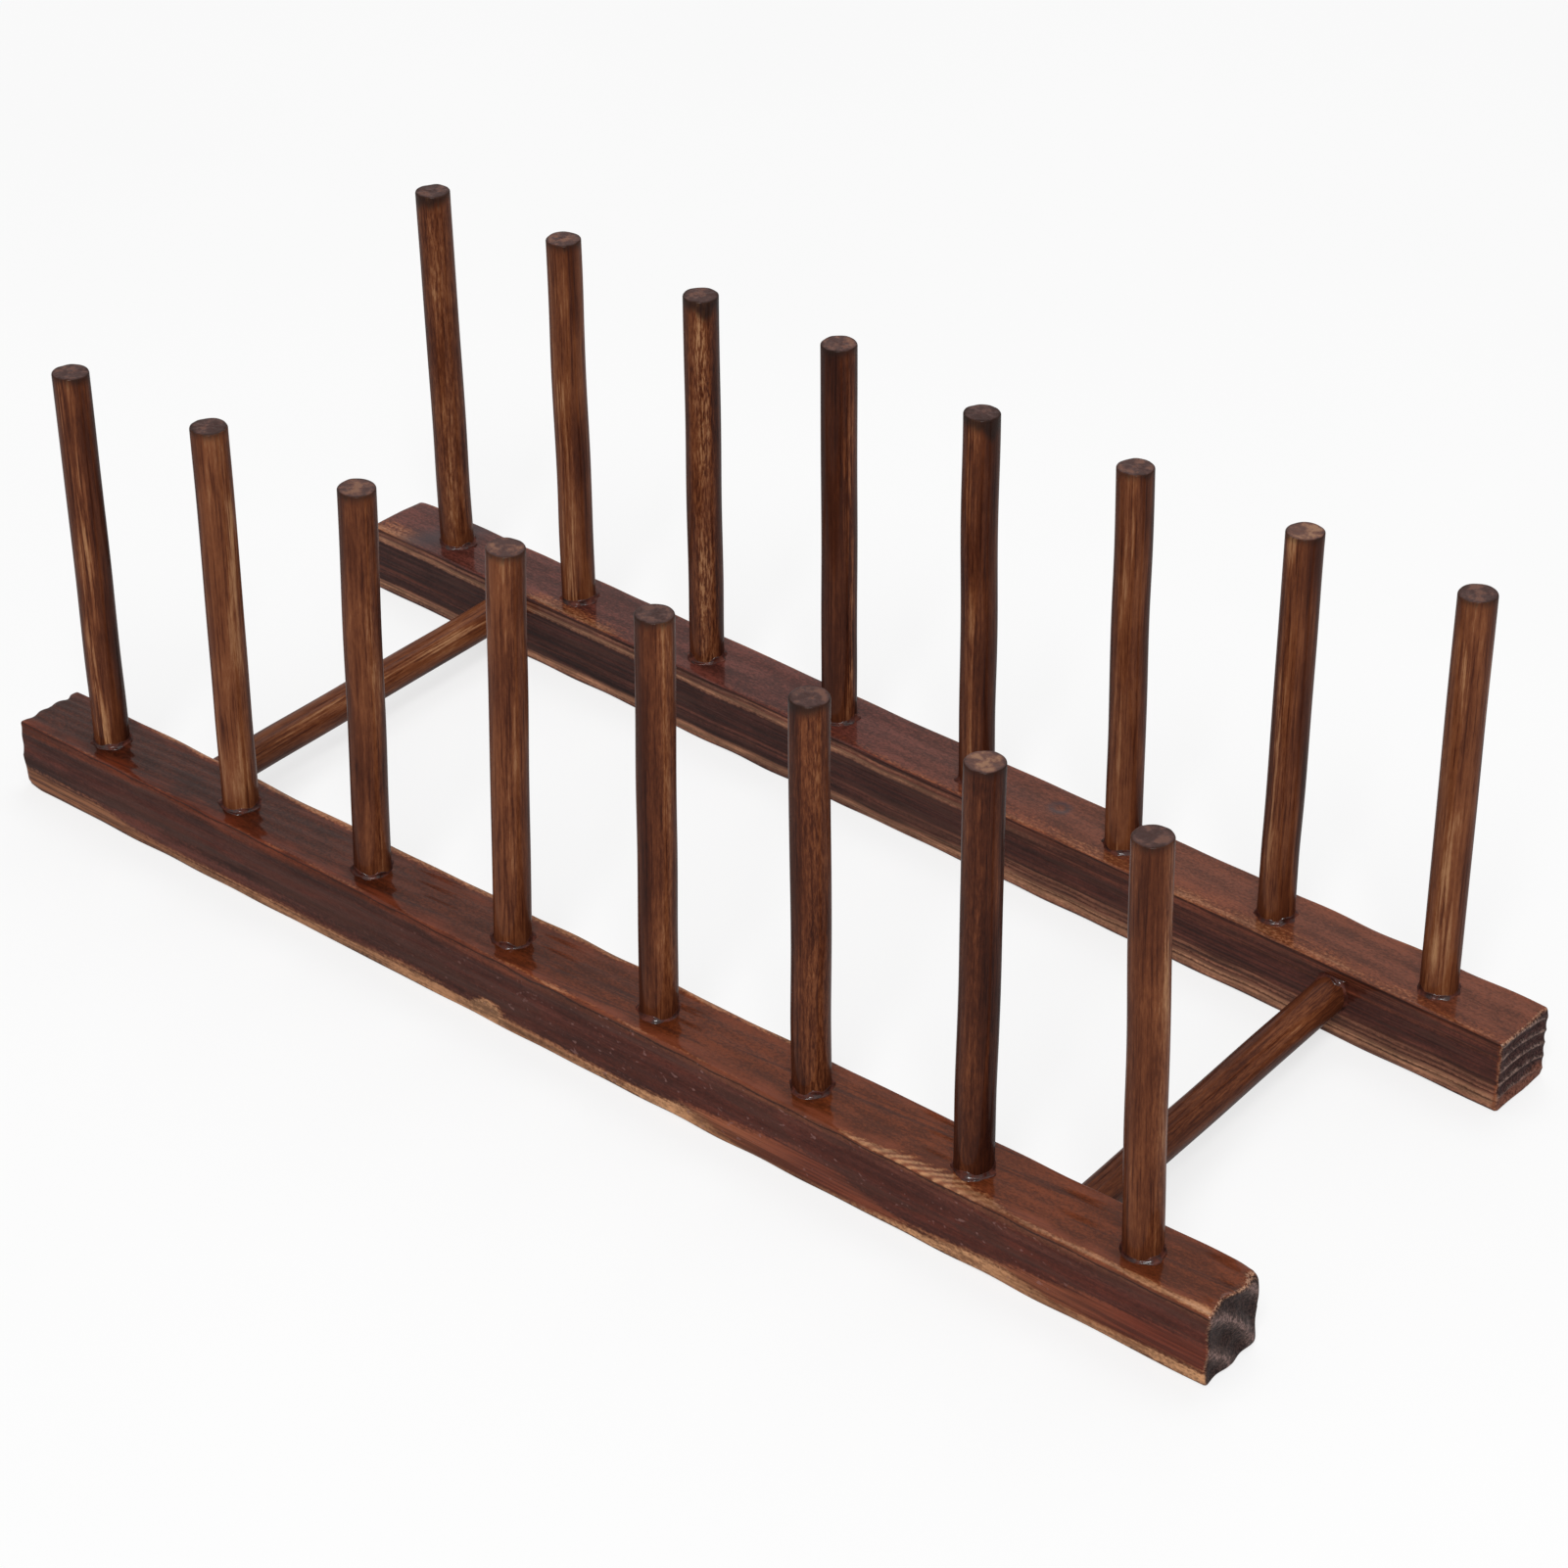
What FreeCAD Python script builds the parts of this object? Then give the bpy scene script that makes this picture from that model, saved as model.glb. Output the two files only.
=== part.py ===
import FreeCAD, Part
import math
import os
import Sketcher

# Table-top plate rack: two wooden rails joined by two round stretchers, with a row of round pegs
# standing in each rail. All joints are glued blind sockets with a bead of glue round the mouth.
# Millimetres and degrees. X runs along the rails, the front is at -Y, and the rack stands on Z = 0.
# The origin is on the table under the middle of the rack.

PEGS_PER_RAIL = 8

SIZES = {
    # rails: square bars with eased edges, sawn by hand, so each runs on past its end pegs by its own margins
    "rail_width": 17.6,
    "rail_height": 17,
    "front_left_margin": 22.2,
    "front_right_margin": 21,
    "back_left_margin": 21.3,
    "back_right_margin": 21,
    "rail_edge_radius": 1,
    # the back rail sits this far to the left of the front rail
    "rail_stagger": 2.5,
    # clear distance between the rails midway between their end pegs: they close in a little to the right
    "left_gap": 95.4,
    "right_gap": 89.4,
    # pegs: equal lengths of dowel, standing on this much wood in the floors of their sockets,
    # in a line this far in front of the middle of their rail
    "peg_diameter": 8,
    "peg_length": 100.5,
    "peg_pitch": 40,
    "peg_floor": 8,
    "peg_set_forward": 0.5,
    # stretchers: dowels with their axis this far below the rail top, sunk this deep into each rail
    "stretcher_diameter": 8,
    "stretcher_drop": 6.5,
    "stretcher_seat": 8,
    # each end of a stretcher enters its rail this far to the right of the midway point
    "left_front_shift": 1.3,
    "left_back_shift": 0.2,
    "right_front_shift": -0.2,
    "right_back_shift": -3.1,
    # dowel ends are eased, and each socket is wider than its dowel by the clearance all round
    "dowel_end_radius": 0.4,
    "socket_clearance": 0.1,
    # glue beads: a hollow-sided ring round each dowel where it enters a rail
    "bead_width": 1,
    "bead_height": 1.4,
    "bead_lip": 0.2,
    "bead_hollow_radius": 1.8,
}

# The rack is put together by hand, so no two pegs stand alike. Each peg stands a little to the right or
# left (negative) of its even place and leans along its rail by an angle, positive to the right. Its
# socket floor lies above or below the common floor height.
PEG_SHIFTS = {
    "front": (-0.4, 0.3, 0.1, 0.4, 0.4, 0.1, 0.2, -0.2),
    "back": (0.1, 0.2, 0.5, 0.3, -0.3, -0.2, -0.4, 0),
}
PEG_LEANS = {
    "front": (-0.9, -0.1, 1.4, 1.5, 0.5, -0.6, -0.1, -1.9),
    "back": (-1.6, -1.0, -0.4, -0.6, -1.0, -1.1, 0.1, -0.2),
}
PEG_RISES = {
    "front": (-0.75, 0.5, 1.0, 2.0, 1.5, -2.0, 0.25, -0.25),
    "back": (-0.5, 0.25, -0.25, 1.0, -2.0, -0.5, 0.0, 1.0),
}

# Sizes that follow from the driving ones, as expressions
HALF_PEG_ROW = f"({(PEGS_PER_RAIL - 1) / 2} * Sizes.peg_pitch)"
PEG_SOCKET_RADIUS = "(Sizes.peg_diameter / 2 + Sizes.socket_clearance)"
STRETCHER_SOCKET_RADIUS = "(Sizes.stretcher_diameter / 2 + Sizes.socket_clearance)"

# Each stretcher lies near the point midway between the two end pegs of the front rail.
STRETCHER_OFFSET = f"({(PEGS_PER_RAIL - 2) / 2} * Sizes.peg_pitch)"
STRETCHER_Z = "(Sizes.rail_height - Sizes.stretcher_drop)"

# The back rail is turned by the angle that takes the gap from its left to its right value. The rails are
# placed so that the left end of the back rail and the right end of the front rail are equally far out.
TOE_IN = f"atan((Sizes.left_gap - Sizes.right_gap) / (2 * {STRETCHER_OFFSET}))"
MIDDLE_GAP = "((Sizes.left_gap + Sizes.right_gap) / 2)"
MIDDLE_SPACING = f"({MIDDLE_GAP} + Sizes.rail_width / 2 * (1 + 1 / cos({TOE_IN})))"
FRONT_X = "((Sizes.rail_stagger + Sizes.back_left_margin - Sizes.front_right_margin) / 2)"
FRONT_Y = f"(-({MIDDLE_SPACING} + ({HALF_PEG_ROW} + Sizes.back_left_margin) * tan({TOE_IN})) / 2)"
FRONT_INNER_Y = f"({FRONT_Y} + Sizes.rail_width / 2)"
BACK_X = f"({FRONT_X} - Sizes.rail_stagger)"
BACK_Y = f"({FRONT_Y} + {MIDDLE_SPACING} + Sizes.rail_stagger * tan({TOE_IN}))"

# Each stretcher lies before or after the middle of the front rail.
STRETCHER_SIGNS = {"left": "-", "right": "+"}

X_AXIS = (1, 0, 0)
Y_AXIS = (0, 1, 0)
Z_AXIS = (0, 0, 1)

# Ends of a sketch edge, and the sketch's own origin and first axis, as the sketcher numbers them
START, END = 1, 2
SKETCH_ORIGIN = (-1, 1)
SKETCH_X_AXIS = -1

doc = FreeCAD.newDocument("plate_rack")
sheet = doc.addObject("Spreadsheet::Sheet", "Sizes")


def fill_sheet():
    """Write every driving dimension into the sheet under its own alias."""
    values = dict(SIZES)
    for row in PEG_LEANS:
        for number in range(1, PEGS_PER_RAIL + 1):
            values[f"{row}_shift_{number}"] = PEG_SHIFTS[row][number - 1]
            values[f"{row}_lean_{number}"] = PEG_LEANS[row][number - 1]
            values[f"{row}_rise_{number}"] = PEG_RISES[row][number - 1]
    for line, (alias, value) in enumerate(values.items(), start=1):
        sheet.set(f"A{line}", alias)
        sheet.set(f"B{line}", str(value))
        sheet.setAlias(f"B{line}", alias)
    doc.recompute()


def current(expression):
    """Present value of an expression, for drawing a sketch near its solved shape."""
    return float(sheet.evalExpression(expression))


def vector(x, y, z):
    return f"create(<<vector>>; {x}; {y}; {z})"


def placed(x, y, z, axis=Z_AXIS, angle=0):
    """Expression for a placement at a point, turned by an angle about an axis."""
    return f"create(<<placement>>; {vector(x, y, z)}; create(<<rotation>>; {vector(*axis)}; {angle}))"


def attached_sketch(body, name, role):
    sketch = body.newObject("Sketcher::SketchObject", name)
    plane = next(feature for feature in body.Origin.OriginFeatures if feature.Role == role)
    sketch.AttachmentSupport = [(plane, "")]
    sketch.MapMode = "FlatFace"
    return sketch


def close_outline(sketch, corners):
    """Join edges end to end; each corner names the two edge ends that meet there."""
    for first, second in corners:
        sketch.addConstraint(Sketcher.Constraint("Coincident", *first, *second))


def dimension(sketch, name, expression, kind, *places):
    """Add one named dimension to a sketch, driven by an expression."""
    index = sketch.addConstraint(Sketcher.Constraint(kind, *places, current(expression)))
    sketch.renameConstraint(index, name)
    sketch.setExpression(f"Constraints.{name}", expression)


def ease_edges(body, base, radius, keep):
    """Round the edges of a feature for which keep(edge) is true."""
    doc.recompute()
    names = [f"Edge{number}" for number, edge in enumerate(base.Shape.Edges, start=1) if keep(edge)]
    fillet = body.newObject("PartDesign::Fillet", f"{body.Name}_eased_edges")
    fillet.Base = (base, names)
    fillet.setExpression("Radius", radius)
    body.Tip = fillet


def rail_blank(row, placement):
    """Square bar with eased edges, its origin under the middle of its row of pegs."""
    body = doc.addObject("PartDesign::Body", f"{row}_rail_blank")
    body.setExpression("Placement", placement)
    outline = attached_sketch(body, f"{row}_rail_outline", "XY_Plane")
    left_reach = f"({HALF_PEG_ROW} + Sizes.{row}_left_margin)"
    right_reach = f"({HALF_PEG_ROW} + Sizes.{row}_right_margin)"
    left, right = current(left_reach), current(right_reach)
    half_width = current("Sizes.rail_width") / 2
    corners = [
        FreeCAD.Vector(-left, -half_width, 0),
        FreeCAD.Vector(right, -half_width, 0),
        FreeCAD.Vector(right, half_width, 0),
        FreeCAD.Vector(-left, half_width, 0),
    ]
    sides = len(corners)
    for side in range(sides):
        outline.addGeometry(Part.LineSegment(corners[side], corners[(side + 1) % sides]), False)
    close_outline(outline, [((side, END), ((side + 1) % sides, START)) for side in range(sides)])
    # the symmetry keeps the left side upright, so only the other three need a direction
    for side, direction in enumerate(("Horizontal", "Vertical", "Horizontal")):
        outline.addConstraint(Sketcher.Constraint(direction, side))
    outline.addConstraint(Sketcher.Constraint("Symmetric", 0, START, 3, START, SKETCH_X_AXIS))
    dimension(outline, "left_reach", left_reach, "DistanceX", 0, START, *SKETCH_ORIGIN)
    dimension(outline, "right_reach", right_reach, "DistanceX", *SKETCH_ORIGIN, 1, START)
    dimension(outline, "width", "Sizes.rail_width", "DistanceY", 1, START, 1, END)
    bar = body.newObject("PartDesign::Pad", f"{row}_rail_bar")
    bar.Profile = outline
    bar.setExpression("Length", "Sizes.rail_height")
    ease_edges(body, bar, "Sizes.rail_edge_radius", lambda edge: True)
    return body


def dowel(label, diameter, length, placement):
    """Round rod with eased ends, standing along its own Z from its lower end."""
    body = doc.addObject("PartDesign::Body", label)
    body.setExpression("Placement", placement)
    stock = body.newObject("PartDesign::AdditiveCylinder", f"{label}_stock")
    stock.setExpression("Radius", f"{diameter} / 2")
    stock.setExpression("Height", length)
    ease_edges(body, stock, "Sizes.dowel_end_radius", lambda edge: isinstance(edge.Curve, Part.Circle))
    return body


def socket_bore(name, radius, length, placement):
    """Space that a dowel takes up in a rail and in its bead, as a plain rod."""
    bore = doc.addObject("Part::Cylinder", name)
    bore.setExpression("Radius", radius)
    bore.setExpression("Height", length)
    bore.setExpression("Placement", placement)
    return bore


def bead_blank(name, bore_radius, placement):
    """Hollow-sided cone, flat on the rail and round the dowel, before the dowel's bore is taken out."""
    foot = f"({bore_radius} + Sizes.bead_width)"
    top = f"({bore_radius} + Sizes.bead_lip)"
    body = doc.addObject("PartDesign::Body", name)
    body.setExpression("Placement", placement)
    profile = attached_sketch(body, f"{name}_profile", "XZ_Plane")
    foot_point = FreeCAD.Vector(current(foot), 0, 0)
    top_point = FreeCAD.Vector(current(top), current("Sizes.bead_height"), 0)
    axis_top = FreeCAD.Vector(0, top_point.y, 0)
    axis_foot = FreeCAD.Vector(0, 0, 0)
    # the hollow side is an arc whose centre lies outside the bead
    radius = current("Sizes.bead_hollow_radius")
    chord = foot_point - top_point
    outward = FreeCAD.Vector(-chord.y, chord.x, 0).normalize()
    centre = (foot_point + top_point) * 0.5 + outward * math.sqrt(radius**2 - (chord.Length / 2) ** 2)
    start_angle = math.atan2(top_point.y - centre.y, top_point.x - centre.x)
    end_angle = math.atan2(foot_point.y - centre.y, foot_point.x - centre.x)
    hollow = Part.ArcOfCircle(Part.Circle(centre, FreeCAD.Vector(0, 0, 1), radius), start_angle, end_angle)
    axis_edge = profile.addGeometry(Part.LineSegment(axis_top, axis_foot), False)
    foot_edge = profile.addGeometry(Part.LineSegment(axis_foot, foot_point), False)
    side_edge = profile.addGeometry(hollow, False)
    top_edge = profile.addGeometry(Part.LineSegment(top_point, axis_top), False)
    corners = [
        ((axis_edge, END), (foot_edge, START)),
        ((foot_edge, END), (side_edge, END)),
        ((side_edge, START), (top_edge, START)),
        ((top_edge, END), (axis_edge, START)),
        ((axis_edge, END), SKETCH_ORIGIN),
    ]
    close_outline(profile, corners)
    profile.addConstraint(Sketcher.Constraint("Vertical", axis_edge))
    profile.addConstraint(Sketcher.Constraint("Horizontal", foot_edge))
    profile.addConstraint(Sketcher.Constraint("Horizontal", top_edge))
    dimension(profile, "foot_radius", foot, "DistanceX", foot_edge, START, foot_edge, END)
    dimension(profile, "top_radius", top, "DistanceX", top_edge, END, top_edge, START)
    dimension(profile, "height", "Sizes.bead_height", "DistanceY", axis_edge, END, axis_edge, START)
    dimension(profile, "hollow", "Sizes.bead_hollow_radius", "Radius", side_edge)
    turned = body.newObject("PartDesign::Revolution", f"{name}_turned")
    turned.Profile = profile
    turned.ReferenceAxis = (profile, ["V_Axis"])
    turned.Angle = 360
    body.Tip = turned
    return body


def cut(label, base, tool):
    result = doc.addObject("Part::Cut", label)
    result.Base = base
    result.Tool = tool
    return result


def add_pegs(row, pieces):
    """Pegs of one rail with their beads; returns the bores that the rail needs for them."""
    rail = f"{row}_rail_blank.Placement"
    bores = []
    for number in range(1, PEGS_PER_RAIL + 1):
        along = f"({number - (PEGS_PER_RAIL + 1) / 2} * Sizes.peg_pitch + Sizes.{row}_shift_{number})"
        lean = f"Sizes.{row}_lean_{number}"
        floor = f"(Sizes.peg_floor + Sizes.{row}_rise_{number})"
        foot_along = f"({along} - (Sizes.rail_height - {floor}) * tan({lean}))"
        standing = f"{rail} * {placed(foot_along, '-Sizes.peg_set_forward', floor, Y_AXIS, lean)}"
        label = f"{row}_peg_{number}"
        pieces[label] = dowel(label, "Sizes.peg_diameter", "Sizes.peg_length", standing)
        bore = socket_bore(f"{label}_bore", PEG_SOCKET_RADIUS, "Sizes.peg_length", standing)
        bores.append(bore)
        mouth = f"{rail} * {placed(along, '-Sizes.peg_set_forward', 'Sizes.rail_height')}"
        bead = f"{row}_glue_bead_{number}"
        pieces[bead] = cut(bead, bead_blank(f"{bead}_blank", PEG_SOCKET_RADIUS, mouth), bore)
    return bores


def add_stretchers(pieces):
    """Stretchers with a bead at each end; returns the bores that both rails need for them."""
    bores = []
    for side, sign in STRETCHER_SIGNS.items():
        front_along = f"({sign}{STRETCHER_OFFSET} + Sizes.{side}_front_shift)"
        back_along = f"({sign}{STRETCHER_OFFSET} + Sizes.{side}_back_shift)"
        gap = f"({MIDDLE_GAP} - {back_along} * tan({TOE_IN}))"
        skew = f"atan(({front_along} - {back_along}) / {gap})"
        length = f"({gap} / cos({skew}) + 2 * Sizes.stretcher_seat)"
        front_mouth = (f"({FRONT_X} + {front_along})", FRONT_INNER_Y, STRETCHER_Z)
        back_mouth = (f"({FRONT_X} + {back_along})", f"({FRONT_INNER_Y} + {gap})", STRETCHER_Z)
        sunk = placed(0, "-Sizes.stretcher_seat", 0, X_AXIS, -90)
        lying = f"{placed(*front_mouth, Z_AXIS, skew)} * {sunk}"
        label = f"{side}_stretcher"
        pieces[label] = dowel(label, "Sizes.stretcher_diameter", length, lying)
        bore = socket_bore(f"{label}_bore", STRETCHER_SOCKET_RADIUS, length, lying)
        bores.append(bore)
        mouths = {
            "front": placed(*front_mouth, X_AXIS, -90),
            "back": f"{placed(*back_mouth, Z_AXIS, f'-{TOE_IN}')} * {placed(0, 0, 0, X_AXIS, 90)}",
        }
        for row, mouth in mouths.items():
            bead = f"{side}_{row}_glue_bead"
            pieces[bead] = cut(bead, bead_blank(f"{bead}_blank", STRETCHER_SOCKET_RADIUS, mouth), bore)
    return bores


def add_rail(row, blank, bores, pieces):
    """Rail with a socket for each of its pegs and for the end of each stretcher."""
    sockets = doc.addObject("Part::MultiFuse", f"{row}_rail_sockets")
    sockets.Shapes = bores
    label = f"{row}_rail"
    pieces[label] = cut(label, blank, sockets)


def check(pieces, blanks):
    """Stop before anything is written if a step failed or a rail has no sockets."""
    failed = [item.Label for item in doc.Objects if "Invalid" in item.State or "Error" in item.State]
    if failed:
        raise RuntimeError(f"failed: {failed}")
    for label, piece in pieces.items():
        shape = piece.Shape
        if shape.isNull() or not shape.isValid() or len(shape.Solids) != 1:
            raise RuntimeError(f"{label} is not one valid solid")
    for row, blank in blanks.items():
        if not pieces[f"{row}_rail"].Shape.Volume < blank.Shape.Volume:
            raise RuntimeError(f"{row}_rail has no sockets")


def main():
    fill_sheet()
    pieces = {}
    blanks = {
        "front": rail_blank("front", placed(FRONT_X, FRONT_Y, 0)),
        "back": rail_blank("back", placed(BACK_X, BACK_Y, 0, Z_AXIS, f"-{TOE_IN}")),
    }
    stretcher_bores = add_stretchers(pieces)
    for row, blank in blanks.items():
        add_rail(row, blank, add_pegs(row, pieces) + stretcher_bores, pieces)
    doc.recompute()
    check(pieces, blanks)
    os.makedirs("parts", exist_ok=True)
    for label, piece in pieces.items():
        piece.Label = label
        piece.Shape.exportStep(f"parts/{label}.step")
        print(f"{label}: {piece.Shape.Volume:.1f} mm3")


main()
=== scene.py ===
import math
from collections import namedtuple

import bpy
import numpy as np
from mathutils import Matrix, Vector


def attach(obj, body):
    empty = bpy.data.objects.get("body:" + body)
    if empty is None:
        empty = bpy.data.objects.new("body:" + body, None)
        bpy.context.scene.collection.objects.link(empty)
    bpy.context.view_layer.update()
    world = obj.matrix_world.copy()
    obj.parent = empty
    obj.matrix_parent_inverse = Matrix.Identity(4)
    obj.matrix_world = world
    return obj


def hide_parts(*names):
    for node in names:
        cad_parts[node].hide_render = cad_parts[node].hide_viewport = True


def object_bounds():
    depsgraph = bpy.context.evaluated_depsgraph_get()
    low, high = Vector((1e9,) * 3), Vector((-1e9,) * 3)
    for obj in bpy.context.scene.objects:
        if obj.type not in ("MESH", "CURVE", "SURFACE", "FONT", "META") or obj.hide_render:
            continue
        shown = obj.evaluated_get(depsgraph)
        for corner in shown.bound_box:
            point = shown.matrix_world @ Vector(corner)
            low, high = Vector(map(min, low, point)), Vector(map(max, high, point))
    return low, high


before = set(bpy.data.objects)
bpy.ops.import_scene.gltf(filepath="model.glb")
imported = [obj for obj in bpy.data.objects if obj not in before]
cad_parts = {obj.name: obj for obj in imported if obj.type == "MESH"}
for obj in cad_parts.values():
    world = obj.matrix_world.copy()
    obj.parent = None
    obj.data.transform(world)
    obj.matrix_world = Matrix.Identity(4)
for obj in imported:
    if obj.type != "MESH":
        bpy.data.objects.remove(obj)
cad_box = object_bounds()

# Lengths are in millimetres and angles in degrees, in the part's own frame, unless a comment says otherwise.
MM = 0.001
FULL_TURN = 2 * math.pi

# The camera, as worked out from the photograph's rails and pegs.
CAMERA_AZIMUTH = 39.57
CAMERA_ELEVATION = 32.84
CAMERA_DISTANCE = 903.3
CAMERA_AIM = (-5.05, 14.5, 24.2)
CAMERA_LENS = 96.4
CAMERA_SENSOR = 36.0
CAMERA_NEAREST = 10.0

# Rails: mesh spacing, edge rounding and the unevenness of hand-brushed faces.
RAIL_STATION = 1.0
RAIL_FACE_CELLS = 30
RAIL_EDGE_STEPS = 4
RAIL_EDGE_RADIUS = 0.9
RAIL_EDGE_WANDER = 0.22
RAIL_EDGE_WAVE = 14
RAIL_FACE_SINK = 0.07
RAIL_FACE_WANDER = 0.05
RAIL_FACE_WAVES = (32, 6, 6)
RAIL_RIDGE = 0.04
RAIL_SINK_LEAST = 0.01
RAIL_SINK_MOST = 0.4
UNDERSIDE_SINK_SHARE = 0.3

# Extra rounding of three worn corners, and how far along the rail it reaches.
FRONT_RAIL_INNER_CORNER = 1.0
FRONT_RAIL_LOW_CORNER = 1.6
BACK_RAIL_OUTER_CORNER = 0.8
CORNER_REACH = 6

# Ends of the rails: how deep the softer wood is worn back at the left and the right end, and how far along.
END_DEPTHS = {"front": (0.7, 1.3), "back": (0.2, 0.9)}
END_REACH = 9.0

# Dowels: mesh spacing, rounding of the ends and unevenness. Swell and tilt are shares.
DOWEL_SIDES = 56
DOWEL_STATION = 2.0
DOWEL_EASE_STEPS = 4
DOWEL_EASE = 0.38
DOWEL_FACE_RINGS = 7
DOWEL_SWELL = 0.006
DOWEL_BEND = 0.07
DOWEL_BEND_WAVE = 30
DOWEL_TOP_TILT = 0.02
DOWEL_TOP_WANDER = 0.06
DOWEL_TOP_REACH = 6
END_TOLERANCE = 0.1

# Beads of hardened glue.
BEAD_SIDES = 48
BEAD_ARC_STEPS = 7
BEAD_SINK = 0.5

# Seeds of the random unevenness, and how far each step of a seed shifts the grain of the wood.
RAIL_SEED = 3
EDGE_SEEDS = {"front": 100, "back": 90}
END_SEED = 31
PEG_SEED = 100
PEG_ROW_SEED_STEP = 20
STRETCHER_SEED = 200
STRETCHER_BEAD_SEED = 220
RAIL_GRAIN_SHIFT = np.array([17.0, 5.0, 3.0])
DOWEL_GRAIN_SHIFT = np.array([11.0, 7.0, 37.0])
BEAD_GRAIN_SHIFT = 13.0

Dowel = namedtuple("Dowel", "foot axis facing side length radius")
Rail = namedtuple("Rail", "centre axes half top")

# What the scorching and brushing left on one peg. gold and its side are the strength of the pale streaks and
# the angle at which they lie, from 0 towards the camera to 90 at its right. char is how far the scorch runs
# down from the top, and dark how much its side of the peg is darkened. tone is the lightness of the wood
# from 0 to 1, mottle breaks it up into small patches, and top is the lightness of the sawn end.
PegLook = namedtuple("PegLook", "gold gold_side char dark dark_side tone mottle top")
PEG_LOOKS = {
    "front_peg_1": PegLook(1.25, -12, 0.8, 0.9, 70, 0.46, 0.2, 0.52),
    "front_peg_2": PegLook(0.60, 48, 0.4, 1.0, -65, 0.68, 0.2, 0.47),
    "front_peg_3": PegLook(0.35, 42, 0.5, 0.6, -70, 0.50, 0.4, 0.65),
    "front_peg_4": PegLook(0.45, 8, 0.5, 0.5, 75, 0.56, 0.3, 0.66),
    "front_peg_5": PegLook(0.35, 35, 0.5, 1.0, -45, 0.51, 0.5, 0.45),
    "front_peg_6": PegLook(0.40, 15, 1.3, 1.0, -55, 0.43, 1.0, 0.54),
    "front_peg_7": PegLook(0.40, -18, 0.3, 1.2, 40, 0.355, 0.5, 0.75),
    "front_peg_8": PegLook(0.65, 42, 0.3, 0.9, -5, 0.60, 0.4, 0.50),
    "back_peg_1": PegLook(0.42, 0, 2.2, 0.7, -60, 0.54, 0.8, 0.49),
    "back_peg_2": PegLook(0.75, -22, 0.6, 0.8, 25, 0.62, 0.2, 0.63),
    "back_peg_3": PegLook(0.95, 0, 3.4, 0.9, 60, 0.46, 0.9, 0.53),
    "back_peg_4": PegLook(0.75, 38, 0.4, 0.9, -20, 0.33, 0.3, 0.61),
    "back_peg_5": PegLook(0.65, -30, 3.4, 0.9, 40, 0.43, 0.3, 0.42),
    "back_peg_6": PegLook(0.60, -25, 0.3, 1.1, 55, 0.555, 0.2, 0.56),
    "back_peg_7": PegLook(0.75, -45, 0.3, 0.9, 50, 0.52, 0.2, 0.78),
    "back_peg_8": PegLook(0.50, -22, 0.3, 1.0, 65, 0.63, 0.2, 0.52),
    "left_stretcher": PegLook(0.70, 0, 0.0, 0.6, 70, 0.59, 0.3, 0.50),
    "right_stretcher": PegLook(0.35, -10, 0.0, 0.8, 60, 0.45, 0.5, 0.50),
}

# Bands along the rails. Each point is a distance along the rail from its middle, with a height or width there
# or, in the tables named share, a share from 0 to 1. First the bare strip at the foot of the front face.
FRONT_TAN_TOP = ((-163, 4.9), (-138, 4.7), (-122, 2.2), (-100, 2.5), (-60, 3.0), (-40, 3.6), (-26, 3.2),
                 (-12, 2.8), (0, 2.5), (14, 2.3), (40, 1.9), (50, 0.9), (80, 1.2), (112, 1.8), (140, 2.5),
                 (150, 3.1), (162, 3.3))
FRONT_TAN_SHARE = ((-163, 0.0), (-120, 0.1), (-100, 0.45), (-60, 0.45), (-40, 0.6), (-27, 0.5), (-23, 0.85),
                   (-16, 0.8), (-12, 0.35), (5, 0.4), (18, 0.95), (30, 0.95), (40, 0.45), (50, 0.1),
                   (70, 0.1), (86, 0.7), (98, 1.0), (110, 0.8), (118, 0.5), (128, 0.2), (140, 0.5),
                   (150, 0.85), (162, 0.9))
# Two long wedges rise along the front face, amber at their left, each with a lens of bare wood at its foot.
FIRST_WEDGE = ((10, 1.3), (30, 3.6), (40, 5.0), (53, 6.2), (64, 7.4), (74, 6.6), (86, 3.6), (96, 1.6))
FIRST_LENS = ((2, 0.8), (14, 2.6), (22, 3.8), (30, 4.4), (40, 3.6), (48, 1.0))
SECOND_WEDGE = ((76, 1.0), (90, 2.1), (100, 3.2), (110, 4.2), (120, 5.7), (130, 7.1), (150, 9.1), (162, 9.8))
SECOND_LENS = ((80, 0.8), (92, 3.2), (100, 3.8), (108, 4.6), (118, 3.8), (130, 1.4))
AMBER_SHARE = ((0, 0.8), (46, 0.9), (57, 0.4), (68, 0.1), (88, 0.3), (95, 0.9), (114, 0.9), (128, 0.5),
               (145, 0.0))
LEFT_WEDGE = ((-163, 4.8), (-135, 5.0), (-120, 6.4), (-100, 5.4), (-60, 4.6), (-20, 4.2), (4, 2.0))
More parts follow.
